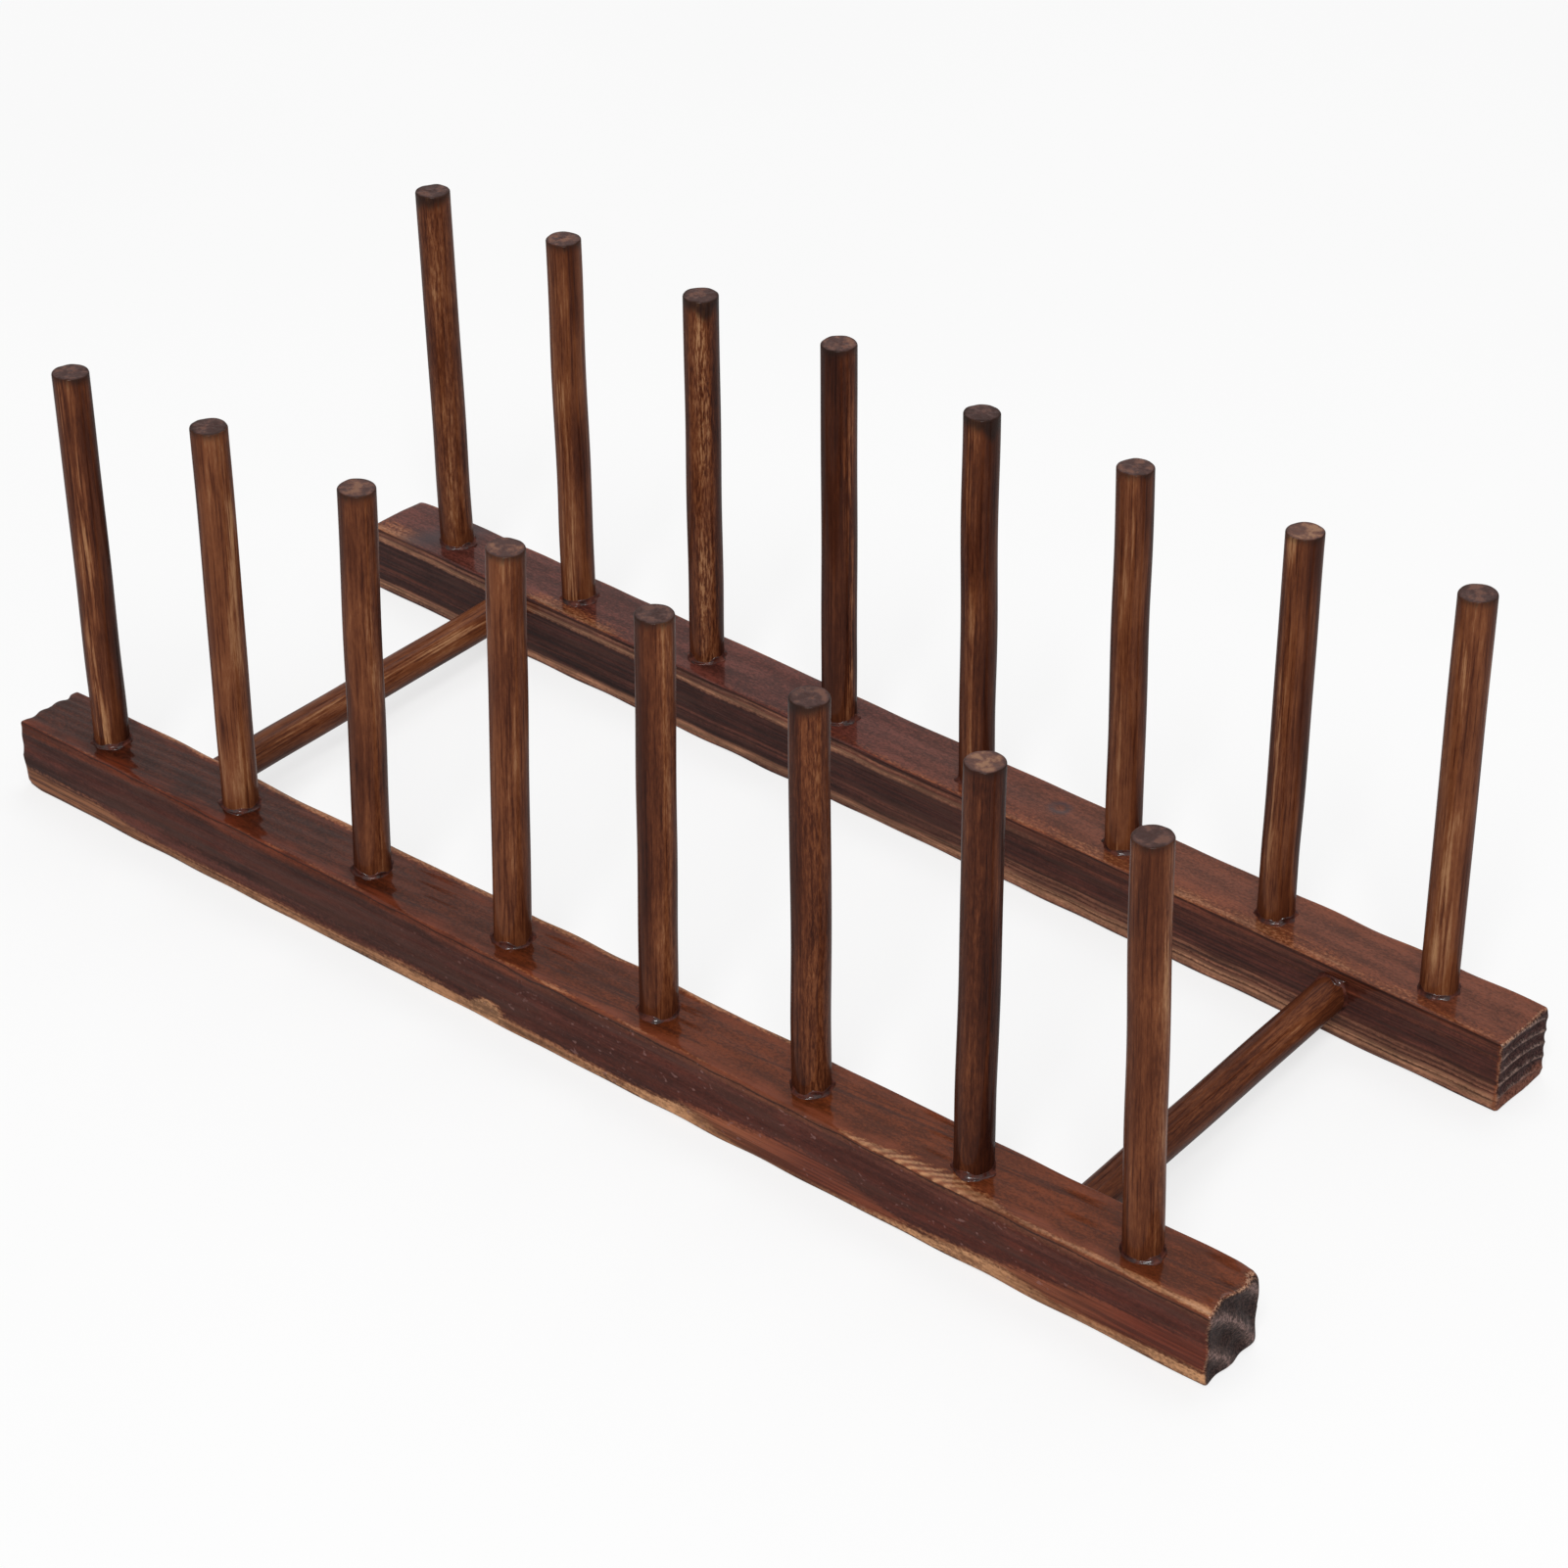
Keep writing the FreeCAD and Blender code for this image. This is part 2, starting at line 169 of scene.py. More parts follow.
# Worn upper edges of the front rail, before and behind, and of the back rail.
FRONT_EDGE_WEAR = ((-163, 1.5), (-60, 1.4), (-26, 1.6), (-18, 1.8), (0, 1.7), (10, 1.8), (40, 1.6),
                   (60, 1.4), (72, 2.2), (84, 3.6), (97, 4.2), (108, 3.6), (116, 1.9), (140, 1.7),
                   (152, 2.1), (162, 2.4))
FRONT_WEAR_SHARE = ((-163, 0.15), (-110, 0.25), (-60, 0.2), (-25, 0.35), (-15, 0.55), (5, 0.55), (20, 0.4),
                    (60, 0.4), (75, 0.7), (95, 0.6), (105, 0.6), (115, 0.5), (140, 0.65), (155, 0.9),
                    (162, 1.0))
FRONT_BACK_WEAR = ((-163, 0.4), (-140, 0.8), (-118, 1.8), (-104, 1.4), (-90, 1.9), (-66, 2.0), (-55, 1.6),
                   (-20, 2.0), (0, 1.5), (28, 1.8), (54, 1.2), (70, 0.1), (162, 0.4))
BACK_EDGE_WEAR = ((-163, 5.4), (-149, 5.0), (-142, -1.0), (-125, -1.0), (-105, 4.0), (-85, 3.6), (-70, 0.0),
                  (-40, 1.0), (20, 1.4), (50, 3.4), (110, 3.6), (135, 2.4), (162, 1.8))
BACK_WEAR_SHARE = ((-163, 0.7), (-148, 0.6), (-140, 0.2), (-110, 0.6), (-85, 0.6), (-70, 0.3), (20, 0.4),
                   (50, 0.55), (130, 0.5), (162, 0.3))
# How far below the front edge a fine crack runs.
FRONT_CRACK = ((-163, 0.1), (-60, 0.2), (0, 0.7), (162, 0.8))
BACK_CRACK = 0.2

# Plain bands of the front rail's inner face, and the value for no band.
INNER_BARE_TOP = 1.4
INNER_WARM_TOP = 3
INNER_WEAR_SHARE = 0.6
NO_BAND = -9.0

# Single marks: a pale knot and brushed nicks on the front rail; on the back rail a dent with a dark ring
# round it, and a patch of painted shade beside the first peg.
KNOT_PLACE = (-19.5, 2.2)
KNOT_SIZE = 4.0
NICKS_PLACE = 92
DENT_PLACE = (41, 2)
DENT_REACH = 1.5
DENT_DEPTH = 0.3
DENT_RING_RADIUS = 1.9
SHADE_PATCH_PLACE = -144


def node_points(node):
    """The corner points of a solid of the frame."""
    points = np.array([v.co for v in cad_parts[node].data.vertices]) / MM
    return np.unique(np.round(points, 3), axis=0)


def unit(vector):
    return vector / np.linalg.norm(vector)


def bearing(azimuth, elevation):
    """The unit vector towards an azimuth, turned from the front to the right, and an elevation."""
    azimuth = math.radians(azimuth)
    elevation = math.radians(elevation)
    level = math.cos(elevation)
    return math.sin(azimuth) * level, -math.cos(azimuth) * level, math.sin(elevation)


def read_dowel(node, along):
    """The middle line, length and radius of a round solid that runs roughly along a direction."""
    points = node_points(node)
    middle = points.mean(axis=0)
    axis = np.linalg.svd(points - middle)[2][0]
    axis = axis * np.sign(axis @ along)
    reach = (points - middle) @ axis
    first = points[reach < reach.min() + END_TOLERANCE].mean(axis=0)
    last = points[reach > reach.max() - END_TOLERANCE].mean(axis=0)
    axis = unit(last - first)
    reach = (points - first) @ axis
    around = points - first - np.outer(reach, axis)
    back = np.array(bearing(CAMERA_AZIMUTH, CAMERA_ELEVATION))
    facing = unit(back - axis * (back @ axis))
    return Dowel(first + axis * reach.min(), axis, facing, np.cross(axis, facing), np.ptp(reach),
                 np.linalg.norm(around, axis=1).max())


def read_rail(rail, pegs):
    """The middle, axes and half sizes of a rail, along the line through the feet of its pegs."""
    points = node_points(rail + "_rail")
    top = points[:, 2].max()
    feet = [peg.foot + peg.axis * (top - peg.foot[2]) / peg.axis[2] for peg in pegs]
    along = unit((feet[-1] - feet[0]) * (1, 1, 0))
    axes = np.array([along, np.cross((0, 0, 1), along), (0, 0, 1)])
    middle = (feet[0] + feet[-1]) / 2
    local = (points - middle) @ axes.T
    low, high = local.min(axis=0), local.max(axis=0)
    return Rail(middle + (low + high) / 2 @ axes, axes, (high - low) / 2, top)


def ripple(points, seed, waves=14):
    """A smooth wander of about -1 to 1, whose humps are about one unit of the points across."""
    random = np.random.default_rng(seed)
    points = np.atleast_2d(points.T).T
    total = np.zeros(len(points))
    for _ in range(waves):
        direction = unit(random.normal(size=points.shape[1]))
        pace = random.uniform(0.35, 0.75)
        total += np.sin(points @ direction * FULL_TURN * pace + random.uniform(0, FULL_TURN))
    return total / math.sqrt(waves)


def between(points, positions):
    """A height, width or share along a rail, on straight lines between the places where it is given."""
    places, values = np.array(points).T
    return np.interp(positions, places, values)


def smooth_step(low, high, values):
    share = np.clip((values - low) / (high - low), 0, 1)
    return share * share * (3 - 2 * share)


def hump(values, width):
    return np.exp(-(values / width) ** 2)


def add_piece(name, points, faces, fields, material, node):
    """Makes a mesh in the part's frame, with its fields as named attributes, in place of a solid."""
    mesh = bpy.data.meshes.new(name)
    mesh.from_pydata((points * MM).tolist(), [], faces)
    mesh.polygons.foreach_set("use_smooth", np.ones(len(mesh.polygons), dtype=bool))
    for label, values in fields.items():
        kind, key = ("FLOAT", "value") if values.ndim == 1 else ("FLOAT_VECTOR", "vector")
        layer = mesh.attributes.new(label, kind, "POINT")
        layer.data.foreach_set(key, values.astype(np.float32).ravel())
    mesh.update()
    mesh.materials.append(material)
    piece = bpy.data.objects.new(name, mesh)
    bpy.context.scene.collection.objects.link(piece)
    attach(piece, "root")
    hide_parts(node)


def eased_places(half, radius, cells):
    """Places from one side of a bar to the other, closer together on its rounded edges."""
    angles = np.radians(np.linspace(0, 45, RAIL_EDGE_STEPS + 1))[1:]
    edge = half - radius + radius * np.tan(angles)
    middle = np.linspace(radius - half, half - radius, cells + 1)
    return np.concatenate([-edge[::-1], middle, edge])


def lattice_skin(places):
    """Points and outward quads on the six sides of a block of cells."""
    shape = [len(p) for p in places]
    inside = np.zeros(shape, dtype=bool)
    inside[1:-1, 1:-1, 1:-1] = True
    index = np.full(shape, -1)
    index[~inside] = np.arange(np.count_nonzero(~inside))
    corners = np.argwhere(~inside)
    points = np.stack([places[k][corners[:, k]] for k in range(3)], axis=1)
    sides = ((index[-1], 1), (index[0], -1), (index[:, 0], 1), (index[:, -1], -1),
             (index[:, :, -1], 1), (index[:, :, 0], -1))
    faces = []
    for side, turn in sides:
        quads = np.stack([side[:-1, :-1], side[1:, :-1], side[1:, 1:], side[:-1, 1:]], axis=-1).reshape(-1, 4)
        faces += quads[:, ::turn].tolist()
    return points, faces


def growth_rings(rail, points, half):
    """How many growth layers lie between the start of the count and each point of a rail."""
    x, y, z = points.T
    if rail == "front":
        share = np.clip(x / (2 * half[0]) + 0.5, 0, 1)
        heart = np.hypot(y + half[1] + 12 - 1.5 * share, z + 2 + 8.5 * share)
        spacing = 3.6 + 3.4 * share
        return (heart - 12 - 9.4 * share) / spacing
    return (z + 0.012 * (y + 2) ** 2 + 0.05 * y - 0.004 * x) / 3.2 + 0.05


def end_recess(rail, points, layers, half):
    """How far brushing has worn the softer wood between the growth layers back from the ends."""
    x, y, z = points.T
    left_depth, right_depth = END_DEPTHS[rail]
    depth = np.where(x > 0, right_depth, left_depth)
    border = np.minimum(half[1] - np.abs(y), z)
    if rail == "front":
        hollow = 0.5 - 0.5 * np.cos(FULL_TURN * layers)
    else:
        hollow = 1 - (2 * (layers % 1) - 1) ** 2
        border = np.minimum(border, 2 * half[2] - z)
    inset = smooth_step(0.2, 3.5, border)
    uneven = 1 + 0.15 * ripple(points[:, 1:] / 4, END_SEED)
    return depth * hollow * uneven * (0.35 + 0.65 * inset)


def rail_edge_radius(rail, points, half):
    """The radius of the nearest long edge, worn unevenly along the rail and rounder at some corners."""
    x, y, z = points.T
    radius = np.full(len(points), RAIL_EDGE_RADIUS)
    for n, (side, level) in enumerate(((-1, -1), (-1, 1), (1, -1), (1, 1))):
        near = (np.sign(y) == side) & (np.sign(z - half[2]) == level)
        radius[near] += RAIL_EDGE_WANDER * ripple(x[near] / RAIL_EDGE_WAVE, EDGE_SEEDS[rail] + n)
    behind = smooth_step(0, half[1], y)
    left = smooth_step(CORNER_REACH, 0, half[0] + x)
    right = smooth_step(CORNER_REACH, 0, half[0] - x)
    if rail == "back":
        return radius + BACK_RAIL_OUTER_CORNER * left * behind
    low_front = smooth_step(0, -half[1], y) * smooth_step(half[2], 0, z)
    return radius + FRONT_RAIL_INNER_CORNER * right * behind + FRONT_RAIL_LOW_CORNER * left * low_front


def rail_fields(rail, points, half, outward, layers, seed):
    """What the wood's colour depends on at each point of a rail: distances into bands and shares."""
    x, y, z = points.T
    from_top, from_front, from_back = 2 * half[2] - z, half[1] + y, half[1] - y
    up_side = smooth_step(0.4, 0.75, outward[:, 2])
    end_side = np.abs(outward[:, 0])
    wander = ripple(np.stack([x / 7, (y + z) / 3], axis=1), seed)
    if rail == "front":
        from_knot = np.hypot((x - KNOT_PLACE[0]) * 0.78, (z - KNOT_PLACE[1]) * 1.25)
        knot = KNOT_SIZE - from_knot + 0.5 * wander
        first = between(FIRST_WEDGE, x) - z
        second = between(SECOND_WEDGE, x) - z
        bare = np.maximum(between(FRONT_TAN_TOP, x) - z, knot)
        bare = np.maximum(bare, np.minimum(first, between(FIRST_LENS, x) - z))
        bare = np.maximum(bare, np.minimum(second, between(SECOND_LENS, x) - z))
        bare = np.where(y < 0, bare, INNER_BARE_TOP - z)
        nicks = 0.5 * hump(x - NICKS_PLACE, 15)
        wear = between(FRONT_EDGE_WEAR, x) - 6 * from_top - from_front
        wear = np.maximum(wear, between(FRONT_BACK_WEAR, x) - from_top - from_back) + 0.25 * wander
        warm = np.maximum(np.maximum(first, second), between(LEFT_WEDGE, x) - z)
        warm = np.where(y < 0, warm, INNER_WARM_TOP - z)
        right = smooth_step(-110, 90, x) * up_side + smooth_step(-60, 60, x) * (1 - up_side)
        stain = np.zeros(len(x))
        crack = from_top - from_front - between(FRONT_CRACK, x)
        pale, amber = between(FRONT_TAN_SHARE, x), between(AMBER_SHARE, x) * (x > 0)
        worn = np.where(y < 0, between(FRONT_WEAR_SHARE, x), INNER_WEAR_SHARE)
        speck = smooth_step(-80, 20, x) * smooth_step(140, 120, x) * smooth_step(-0.5, -0.9, outward[:, 1])
        glow = np.maximum(smooth_step(5.0, 0.5, from_front + 1.2 * wander),
                          0.5 * smooth_step(5.0, 0.5, from_back + 1.2 * wander))
    else:
        bare = np.full(len(x), NO_BAND)
        wear = 0.22 * (between(BACK_EDGE_WEAR, x) - from_front) - 3 * from_top + 0.1 * wander
        wear = np.maximum(wear, 0.8 - from_top - from_back)
        wear = np.maximum(wear, 1.0 - (half[0] - x) - from_front)
        warm = np.full(len(x), NO_BAND)
        right = smooth_step(-20, 60, x)
        mark = np.hypot(x - DENT_PLACE[0], y - DENT_PLACE[1]) - DENT_RING_RADIUS
        # Painted shade in a patch beside the first back peg, and a dark ring round the dent, both on the top.
        stain = (0.8 * hump(x - SHADE_PATCH_PLACE - 0.5 * y, 5) + 0.8 * hump(mark, 0.7)) * up_side
        crack = from_top - from_front - BACK_CRACK
        worn = between(BACK_WEAR_SHARE, x)
        pale = speck = glow = nicks = amber = np.zeros(len(x))
    upper_rim = 0.6 + 0.9 * smooth_step(0.2, 0.6, outward[:, 2])
    return {
        "grain": points + RAIL_GRAIN_SHIFT * seed,
        "band": z + 0.3 * ripple(x / 40, seed + 1) + 0.1 * ripple(x / 11, seed + 2),
        "right": right,
        "warm_right": smooth_step(-20, 40, x),
        "bare": bare,
        "pale": pale,
        "amber": amber,
        "worn": worn,
        "nicks": nicks,
        "wear": wear,
        "warm": warm,
        "stain": stain,
        "glow": glow,
        "speck": speck,
        "crack": crack + 0.12 * ripple(x / 9, seed + 3),
        "upward": up_side,
        "end": smooth_step(0.5, 0.85, end_side),
        "rim": hump(end_side - 0.6, 0.25) * smooth_step(0, 5, x) * upper_rim,
        "layers": layers + 9,
    }


def add_rail(name, rail, material, seed):
    """A rail with uneven edges, brushed faces and ends worn back between the growth layers."""
    half = rail.half
    places = (
        eased_places(half[0], RAIL_EDGE_RADIUS, round(2 * half[0] / RAIL_STATION)),
        eased_places(half[1], RAIL_EDGE_RADIUS, RAIL_FACE_CELLS),
        eased_places(half[2], RAIL_EDGE_RADIUS, RAIL_FACE_CELLS),
    )
    box, faces = lattice_skin(places)
    raised = box + (0, 0, half[2])
    radius = rail_edge_radius(name, raised, half)
    limit = half - radius[:, None]
    core = np.clip(box, -limit, limit)
    outward = (box - core) / np.linalg.norm(box - core, axis=1)[:, None]
    sink = RAIL_FACE_SINK - RAIL_FACE_WANDER * ripple(raised / RAIL_FACE_WAVES, seed)
    layers = growth_rings(name, raised, half)
    long_side = 1 - smooth_step(0.3, 0.7, np.abs(outward[:, 0]))
    sink += RAIL_RIDGE * (1 + np.cos(FULL_TURN * layers * 2)) * long_side
    sink *= np.where(outward[:, 2] < -0.5, UNDERSIDE_SINK_SHARE, 1.0)
    if name == "back":
        from_dent = np.hypot(box[:, 0] - DENT_PLACE[0], box[:, 1] - DENT_PLACE[1])
        sink += DENT_DEPTH * hump(from_dent, DENT_REACH) * smooth_step(0.5, 0.9, outward[:, 2])
    shaped = core + outward * (radius - np.clip(sink, RAIL_SINK_LEAST, RAIL_SINK_MOST))[:, None]
    recess = end_recess(name, raised, layers, half)
    from_end = half[0] - np.abs(box[:, 0])
    shaped[:, 0] -= np.sign(box[:, 0]) * recess * smooth_step(END_REACH, 0.5, from_end)
    fields = rail_fields(name, shaped + (0, 0, half[2]), half, outward, layers, seed)
    placed = shaped @ rail.axes + rail.centre
    node = name + "_rail"
    add_piece(node + "_wood", placed, faces, fields, material, node)


def round_points(dowel, across, sideways, along):
    """Points at distances across, sideways and along from the foot of a dowel."""
    return dowel.foot + (across[:, None] * dowel.facing + sideways[:, None] * dowel.side
                         + along[:, None] * dowel.axis)


def ring_quads(grid):
    """Quads between neighbouring rings of points, each ring closed from its last point to its first."""
    ahead = np.roll(grid, -1, axis=1)
    return np.stack([grid[:-1], ahead[:-1], ahead[1:], grid[1:]], axis=-1).reshape(-1, 4)


def end_fans(grid):
    """Triangles from the first and the last ring to one more point for each, numbered after the rings."""
    ahead = np.roll(grid, -1, axis=1)
    foot = [[grid.size, after, here] for here, after in zip(grid[0], ahead[0])]
    return foot + [[grid.size + 1, here, after] for here, after in zip(grid[-1], ahead[-1])]


def dowel_rings(dowel):
    """Distance along and radius of each ring of points, from the foot's middle to the top's."""
    ease = DOWEL_EASE
    turn = np.radians(np.linspace(0, 90, DOWEL_EASE_STEPS + 1))
    face = np.linspace(0, dowel.radius - ease, DOWEL_FACE_RINGS + 1)[1:-1]
    body = np.linspace(ease, dowel.length - ease, round(dowel.length / DOWEL_STATION))[1:-1]
    round_in = dowel.radius - ease + ease * np.sin(turn)
    along = np.concatenate([0 * face, ease - ease * np.cos(turn), body,
                            dowel.length - ease + ease * np.cos(turn[::-1]), 0 * face + dowel.length])
    radius = np.concatenate([face, round_in, 0 * body + dowel.radius, round_in[::-1], face[::-1]])
    return along, radius


def turned_angle(angles, towards):
    """Angles measured from a direction given in degrees, between minus and plus half a turn."""
    return (angles - math.radians(towards) + math.pi) % FULL_TURN - math.pi


def dowel_fields(look, angles, along, radial, dowel, seed):
    """What the colour of a dowel depends on: its streaks, its scorched top, its sawn end, and painted shade
    on its sides as seen from the camera.
    """
    depth = dowel.length - along
    ring = np.stack([2 * np.cos(angles), 2 * np.sin(angles), along / 22], axis=1)
    patchy = 0.5 + 0.5 * ripple(ring, seed + 3)
    gold = look.gold * hump(turned_angle(angles, look.gold_side), 0.5)
    gold += 0.7 * look.gold * hump(turned_angle(angles, look.gold_side + 160), 0.5)
    dark = look.dark * hump(turned_angle(angles, look.dark_side), 0.7) * (0.7 + 0.5 * ripple(ring, seed + 6))
    around = 1 - 0.6 * smooth_step(0.4, 2.0, np.abs(turned_angle(angles, look.dark_side)))
    sideways = np.arcsin(np.abs(np.sin(turned_angle(angles, 0))))
    reach = look.char * around * (1 + 0.3 * ripple(ring * (1, 1, 0), seed + 5))
    local = np.stack([radial * np.cos(angles), radial * np.sin(angles), along], axis=1)
    return {
        "grain": local + DOWEL_GRAIN_SHIFT * seed,
        "gold": np.clip(gold * (0.55 + 0.8 * patchy), 0, 1),
        "char": reach - depth,
        # The last term of the tone is painted shade, darker towards the dowel's sides as seen from the
        # camera.
        "tone": look.tone + 0.04 - 0.24 * dark - 0.14 * smooth_step(0.75, 1.4, sideways),
        "mottle": np.full(len(along), look.mottle),
        "top": smooth_step(0.12, 0.0, depth) * smooth_step(0.99, 0.9, radial / dowel.radius),
        "sawn": look.top - 0.2 * smooth_step(0.75, 0.95, radial / dowel.radius),
    }


def add_dowel(node, dowel, material, seed):
    """A round peg or rod with a slightly uneven girth, a gentle bend and eased ends."""
    ring_along, ring_radius = dowel_rings(dowel)
    turn = np.arange(DOWEL_SIDES) * FULL_TURN / DOWEL_SIDES
    angles = np.concatenate([np.tile(turn, len(ring_along)), [0, 0]])
    along = np.concatenate([np.repeat(ring_along, DOWEL_SIDES), [0, dowel.length]])
    radial = np.concatenate([np.repeat(ring_radius, DOWEL_SIDES), [0, 0]])
    girth = np.stack([1.2 * np.cos(angles), 1.2 * np.sin(angles), along / 16], axis=1)
    width = radial * (1 - DOWEL_SWELL * (1 + ripple(girth, seed)))
    free = smooth_step(0.12, 0.3, along / dowel.length)
    bend_across = DOWEL_BEND * ripple(along / DOWEL_BEND_WAVE, seed + 1) * free
    bend_sideways = DOWEL_BEND * ripple(along / DOWEL_BEND_WAVE, seed + 2) * free
    random = np.random.default_rng(seed)
    lean = random.uniform(0, FULL_TURN)
    tilt = DOWEL_TOP_TILT * random.uniform(0.1, 1)
    slope = tilt * (dowel.radius - radial * np.cos(angles - lean))
    uneven = DOWEL_TOP_WANDER * (1 + ripple(girth * (2, 2, 0), seed + 4))
    fields = dowel_fields(PEG_LOOKS[node], angles, along, radial, dowel, seed)
    along = along - (slope + uneven) * smooth_step(DOWEL_TOP_REACH, 0, dowel.length - along)
    across = width * np.cos(angles) + bend_across
    sideways = width * np.sin(angles) + bend_sideways
    grid = np.arange(len(ring_along) * DOWEL_SIDES).reshape(-1, DOWEL_SIDES)
    faces = ring_quads(grid).tolist() + end_fans(grid)
    placed = round_points(dowel, across, sideways, along)
    add_piece(node + "_wood", placed, faces, fields, material, node)


def bead_share(ring, turns, seed):
    """The uneven share of a bead's solid that the glue fills, round the dowel."""
    return np.clip(0.5 + 0.4 * ripple(ring * turns, seed), 0.2, 1)


def add_bead(node, dowel, level, material, seed):
    """A hollow-curved and uneven bead of glue round a dowel, where it leaves a face at a level along it."""
    points = node_points(node)
    reach = (points - dowel.foot) @ dowel.axis
    out = np.linalg.norm(points - dowel.foot - np.outer(reach, dowel.axis), axis=1)
    grow = 1 if reach.mean() > level else -1
    angles = np.arange(BEAD_SIDES) * FULL_TURN / BEAD_SIDES
    ring = np.stack([np.cos(angles), np.sin(angles)], axis=1)
    width = (out.max() - dowel.radius) * bead_share(ring, 2.2, seed)
    rise = np.ptp(reach) * bead_share(ring, 1.6, seed + 1)
    arc = np.radians(np.linspace(0, 90, BEAD_ARC_STEPS))[:, None]
    inner = np.full(BEAD_SIDES, dowel.radius - BEAD_SINK)
    below = np.full(BEAD_SIDES, -BEAD_SINK)
    radial = np.vstack([inner, dowel.radius + width, dowel.radius + width * (1 - np.sin(arc)), inner])
    height = np.vstack([below, below, rise * (1 - np.cos(arc)), rise])
    grid = np.arange(radial.size).reshape(radial.shape)
    angles = np.tile(angles, len(radial))
    across = radial.ravel() * np.cos(angles)
    sideways = radial.ravel() * np.sin(angles)
    along = level + grow * height.ravel()
    faces = ring_quads(np.vstack([grid, grid[:1]]))[:, ::grow].tolist()
    fields = {
        "grain": np.stack([across, sideways, along], axis=1) + BEAD_GRAIN_SHIFT * seed,
        "glint": hump(turned_angle(angles, 0), 0.7),
    }
    placed = round_points(dowel, across, sideways, along)
    add_piece(node + "_glue", placed, faces, fields, material, node)


# Places of the sockets of a colour mix node.
MIX_SHARE, MIX_FIRST, MIX_SECOND, MIX_RESULT = 0, 6, 7, 2

# Strength of the fine relief, and its depth in metres.
BUMP_STRENGTH = 0.5
BUMP_DISTANCE = 0.0003

# Where a noise, which keeps near a half, has its low, middle and high values.
NOISE_PLACES = (0.42, 0.50, 0.58)
WIDE_NOISE_PLACES = (0.40, 0.50, 0.60)


def colour(red, green, blue):
    return red, green, blue, 1.0


def grey(level):
    return colour(level, level, level)


def shades(tone, low, high):
    """Ramp stops for a colour that varies from a darker to a lighter share of itself along a noise."""
    return tuple((place, colour(*(share * part for part in tone[:3])))
                 for place, share in zip(NOISE_PLACES, (low, 1.0, high)))


class Tree:
    """Short calls for the nodes of one material or world."""

    def __init__(self, owner):
        self.owner = owner
        owner.use_nodes = True
        self.nodes = owner.node_tree.nodes
        self.links = owner.node_tree.links
        self.nodes.clear()

    def put(self, socket, value):
        if isinstance(value, bpy.types.NodeSocket):
            self.links.new(value, socket)
        else:
            socket.default_value = value

    def node(self, kind, inputs=(), **settings):
        made = self.nodes.new(kind)
        for key, value in settings.items():
            setattr(made, key, value)
        for key, value in dict(inputs).items():
            self.put(made.inputs[key], value)
        return made

    def field(self, name):
        return self.node("ShaderNodeAttribute", attribute_name=name).outputs["Fac"]

    def grain(self):
        return self.node("ShaderNodeAttribute", attribute_name="grain").outputs["Vector"]

    def noise(self, vector, stretch, scale, detail, roughness):
        stretched = self.node("ShaderNodeVectorMath", {0: vector, 1: stretch}, operation="MULTIPLY")
        inputs = {"Vector": stretched.outputs[0], "Scale": scale, "Detail": detail, "Roughness": roughness}
        return self.node("ShaderNodeTexNoise", inputs).outputs["Fac"]

    def math(self, operation, first, second=0.0):
        return self.node("ShaderNodeMath", {0: first, 1: second}, operation=operation).outputs[0]

    def add(self, first, second):
        return self.math("ADD", first, second)

    def minus(self, first, second):
        return self.math("SUBTRACT", first, second)

    def times(self, first, second):
        return self.math("MULTIPLY", first, second)

    def swing(self, noise, share):
        """A noise about 0 instead of about a half, times a share."""
        return self.times(self.minus(noise, 0.5), share)

    def step(self, value, low, high, least=0.0, most=1.0):
        """Goes smoothly from least to most as the value goes from low to high."""
        inputs = {"Value": value, "From Min": low, "From Max": high, "To Min": least, "To Max": most}
        return self.node("ShaderNodeMapRange", inputs, interpolation_type="SMOOTHSTEP").outputs["Result"]

    def rough(self, field, ragged, share):
        """A distance whose border a noise makes ragged."""
        return self.add(self.field(field), self.times(ragged, share))

    def mix(self, share, first, second, blend="MIX"):
        inputs = {MIX_SHARE: share, MIX_FIRST: first, MIX_SECOND: second}
        made = self.node("ShaderNodeMix", inputs, data_type="RGBA", blend_type=blend)
        return made.outputs[MIX_RESULT]

    def ramp(self, value, stops):
        made = self.node("ShaderNodeValToRGB", {"Fac": value})
        elements = made.color_ramp.elements
        elements[0].position, elements[0].color = stops[0]
        elements[1].position, elements[1].color = stops[-1]
        for place, tone in stops[1:-1]:
            elements.new(place).color = tone
        return made.outputs["Color"]

    def dimmed(self, tone, noise, levels, share=1.0, places=NOISE_PLACES):
        """A colour made darker and lighter by a noise."""
        stops = tuple(zip(places, map(grey, levels)))
        return self.mix(share, tone, self.ramp(noise, stops), "MULTIPLY")

    def mix_shaders(self, share, first, second):
        made = self.node("ShaderNodeMixShader", {"Fac": share})
        self.links.new(first.outputs[0], made.inputs[1])
        self.links.new(second.outputs[0], made.inputs[2])
        return made

    def seen_rays(self):
        """1 for rays that show the background to the camera, straight or in a mirror or through glass."""
        path = self.node("ShaderNodeLightPath")
        mirrored = self.math("MAXIMUM", path.outputs["Is Glossy Ray"], path.outputs["Is Transmission Ray"])
        return self.math("MAXIMUM", path.outputs["Is Camera Ray"], mirrored)

    def output(self, shader, kind="ShaderNodeOutputMaterial"):
        self.links.new(shader.outputs[0], self.node(kind).inputs["Surface"])
        return self.owner

    def finish(self, tone, roughness, height, coat, **constants):
        inputs = {"Base Color": tone, "Roughness": roughness, "Coat Weight": coat}
        shader = self.node("ShaderNodeBsdfPrincipled", inputs)
        for key, value in constants.items():
            shader.inputs[key.replace("_", " ")].default_value = value
        relief = {"Height": height, "Strength": BUMP_STRENGTH, "Distance": BUMP_DISTANCE}
        bump = self.node("ShaderNodeBump", relief)
        self.links.new(bump.outputs["Normal"], shader.inputs["Normal"])
        return self.output(shader)


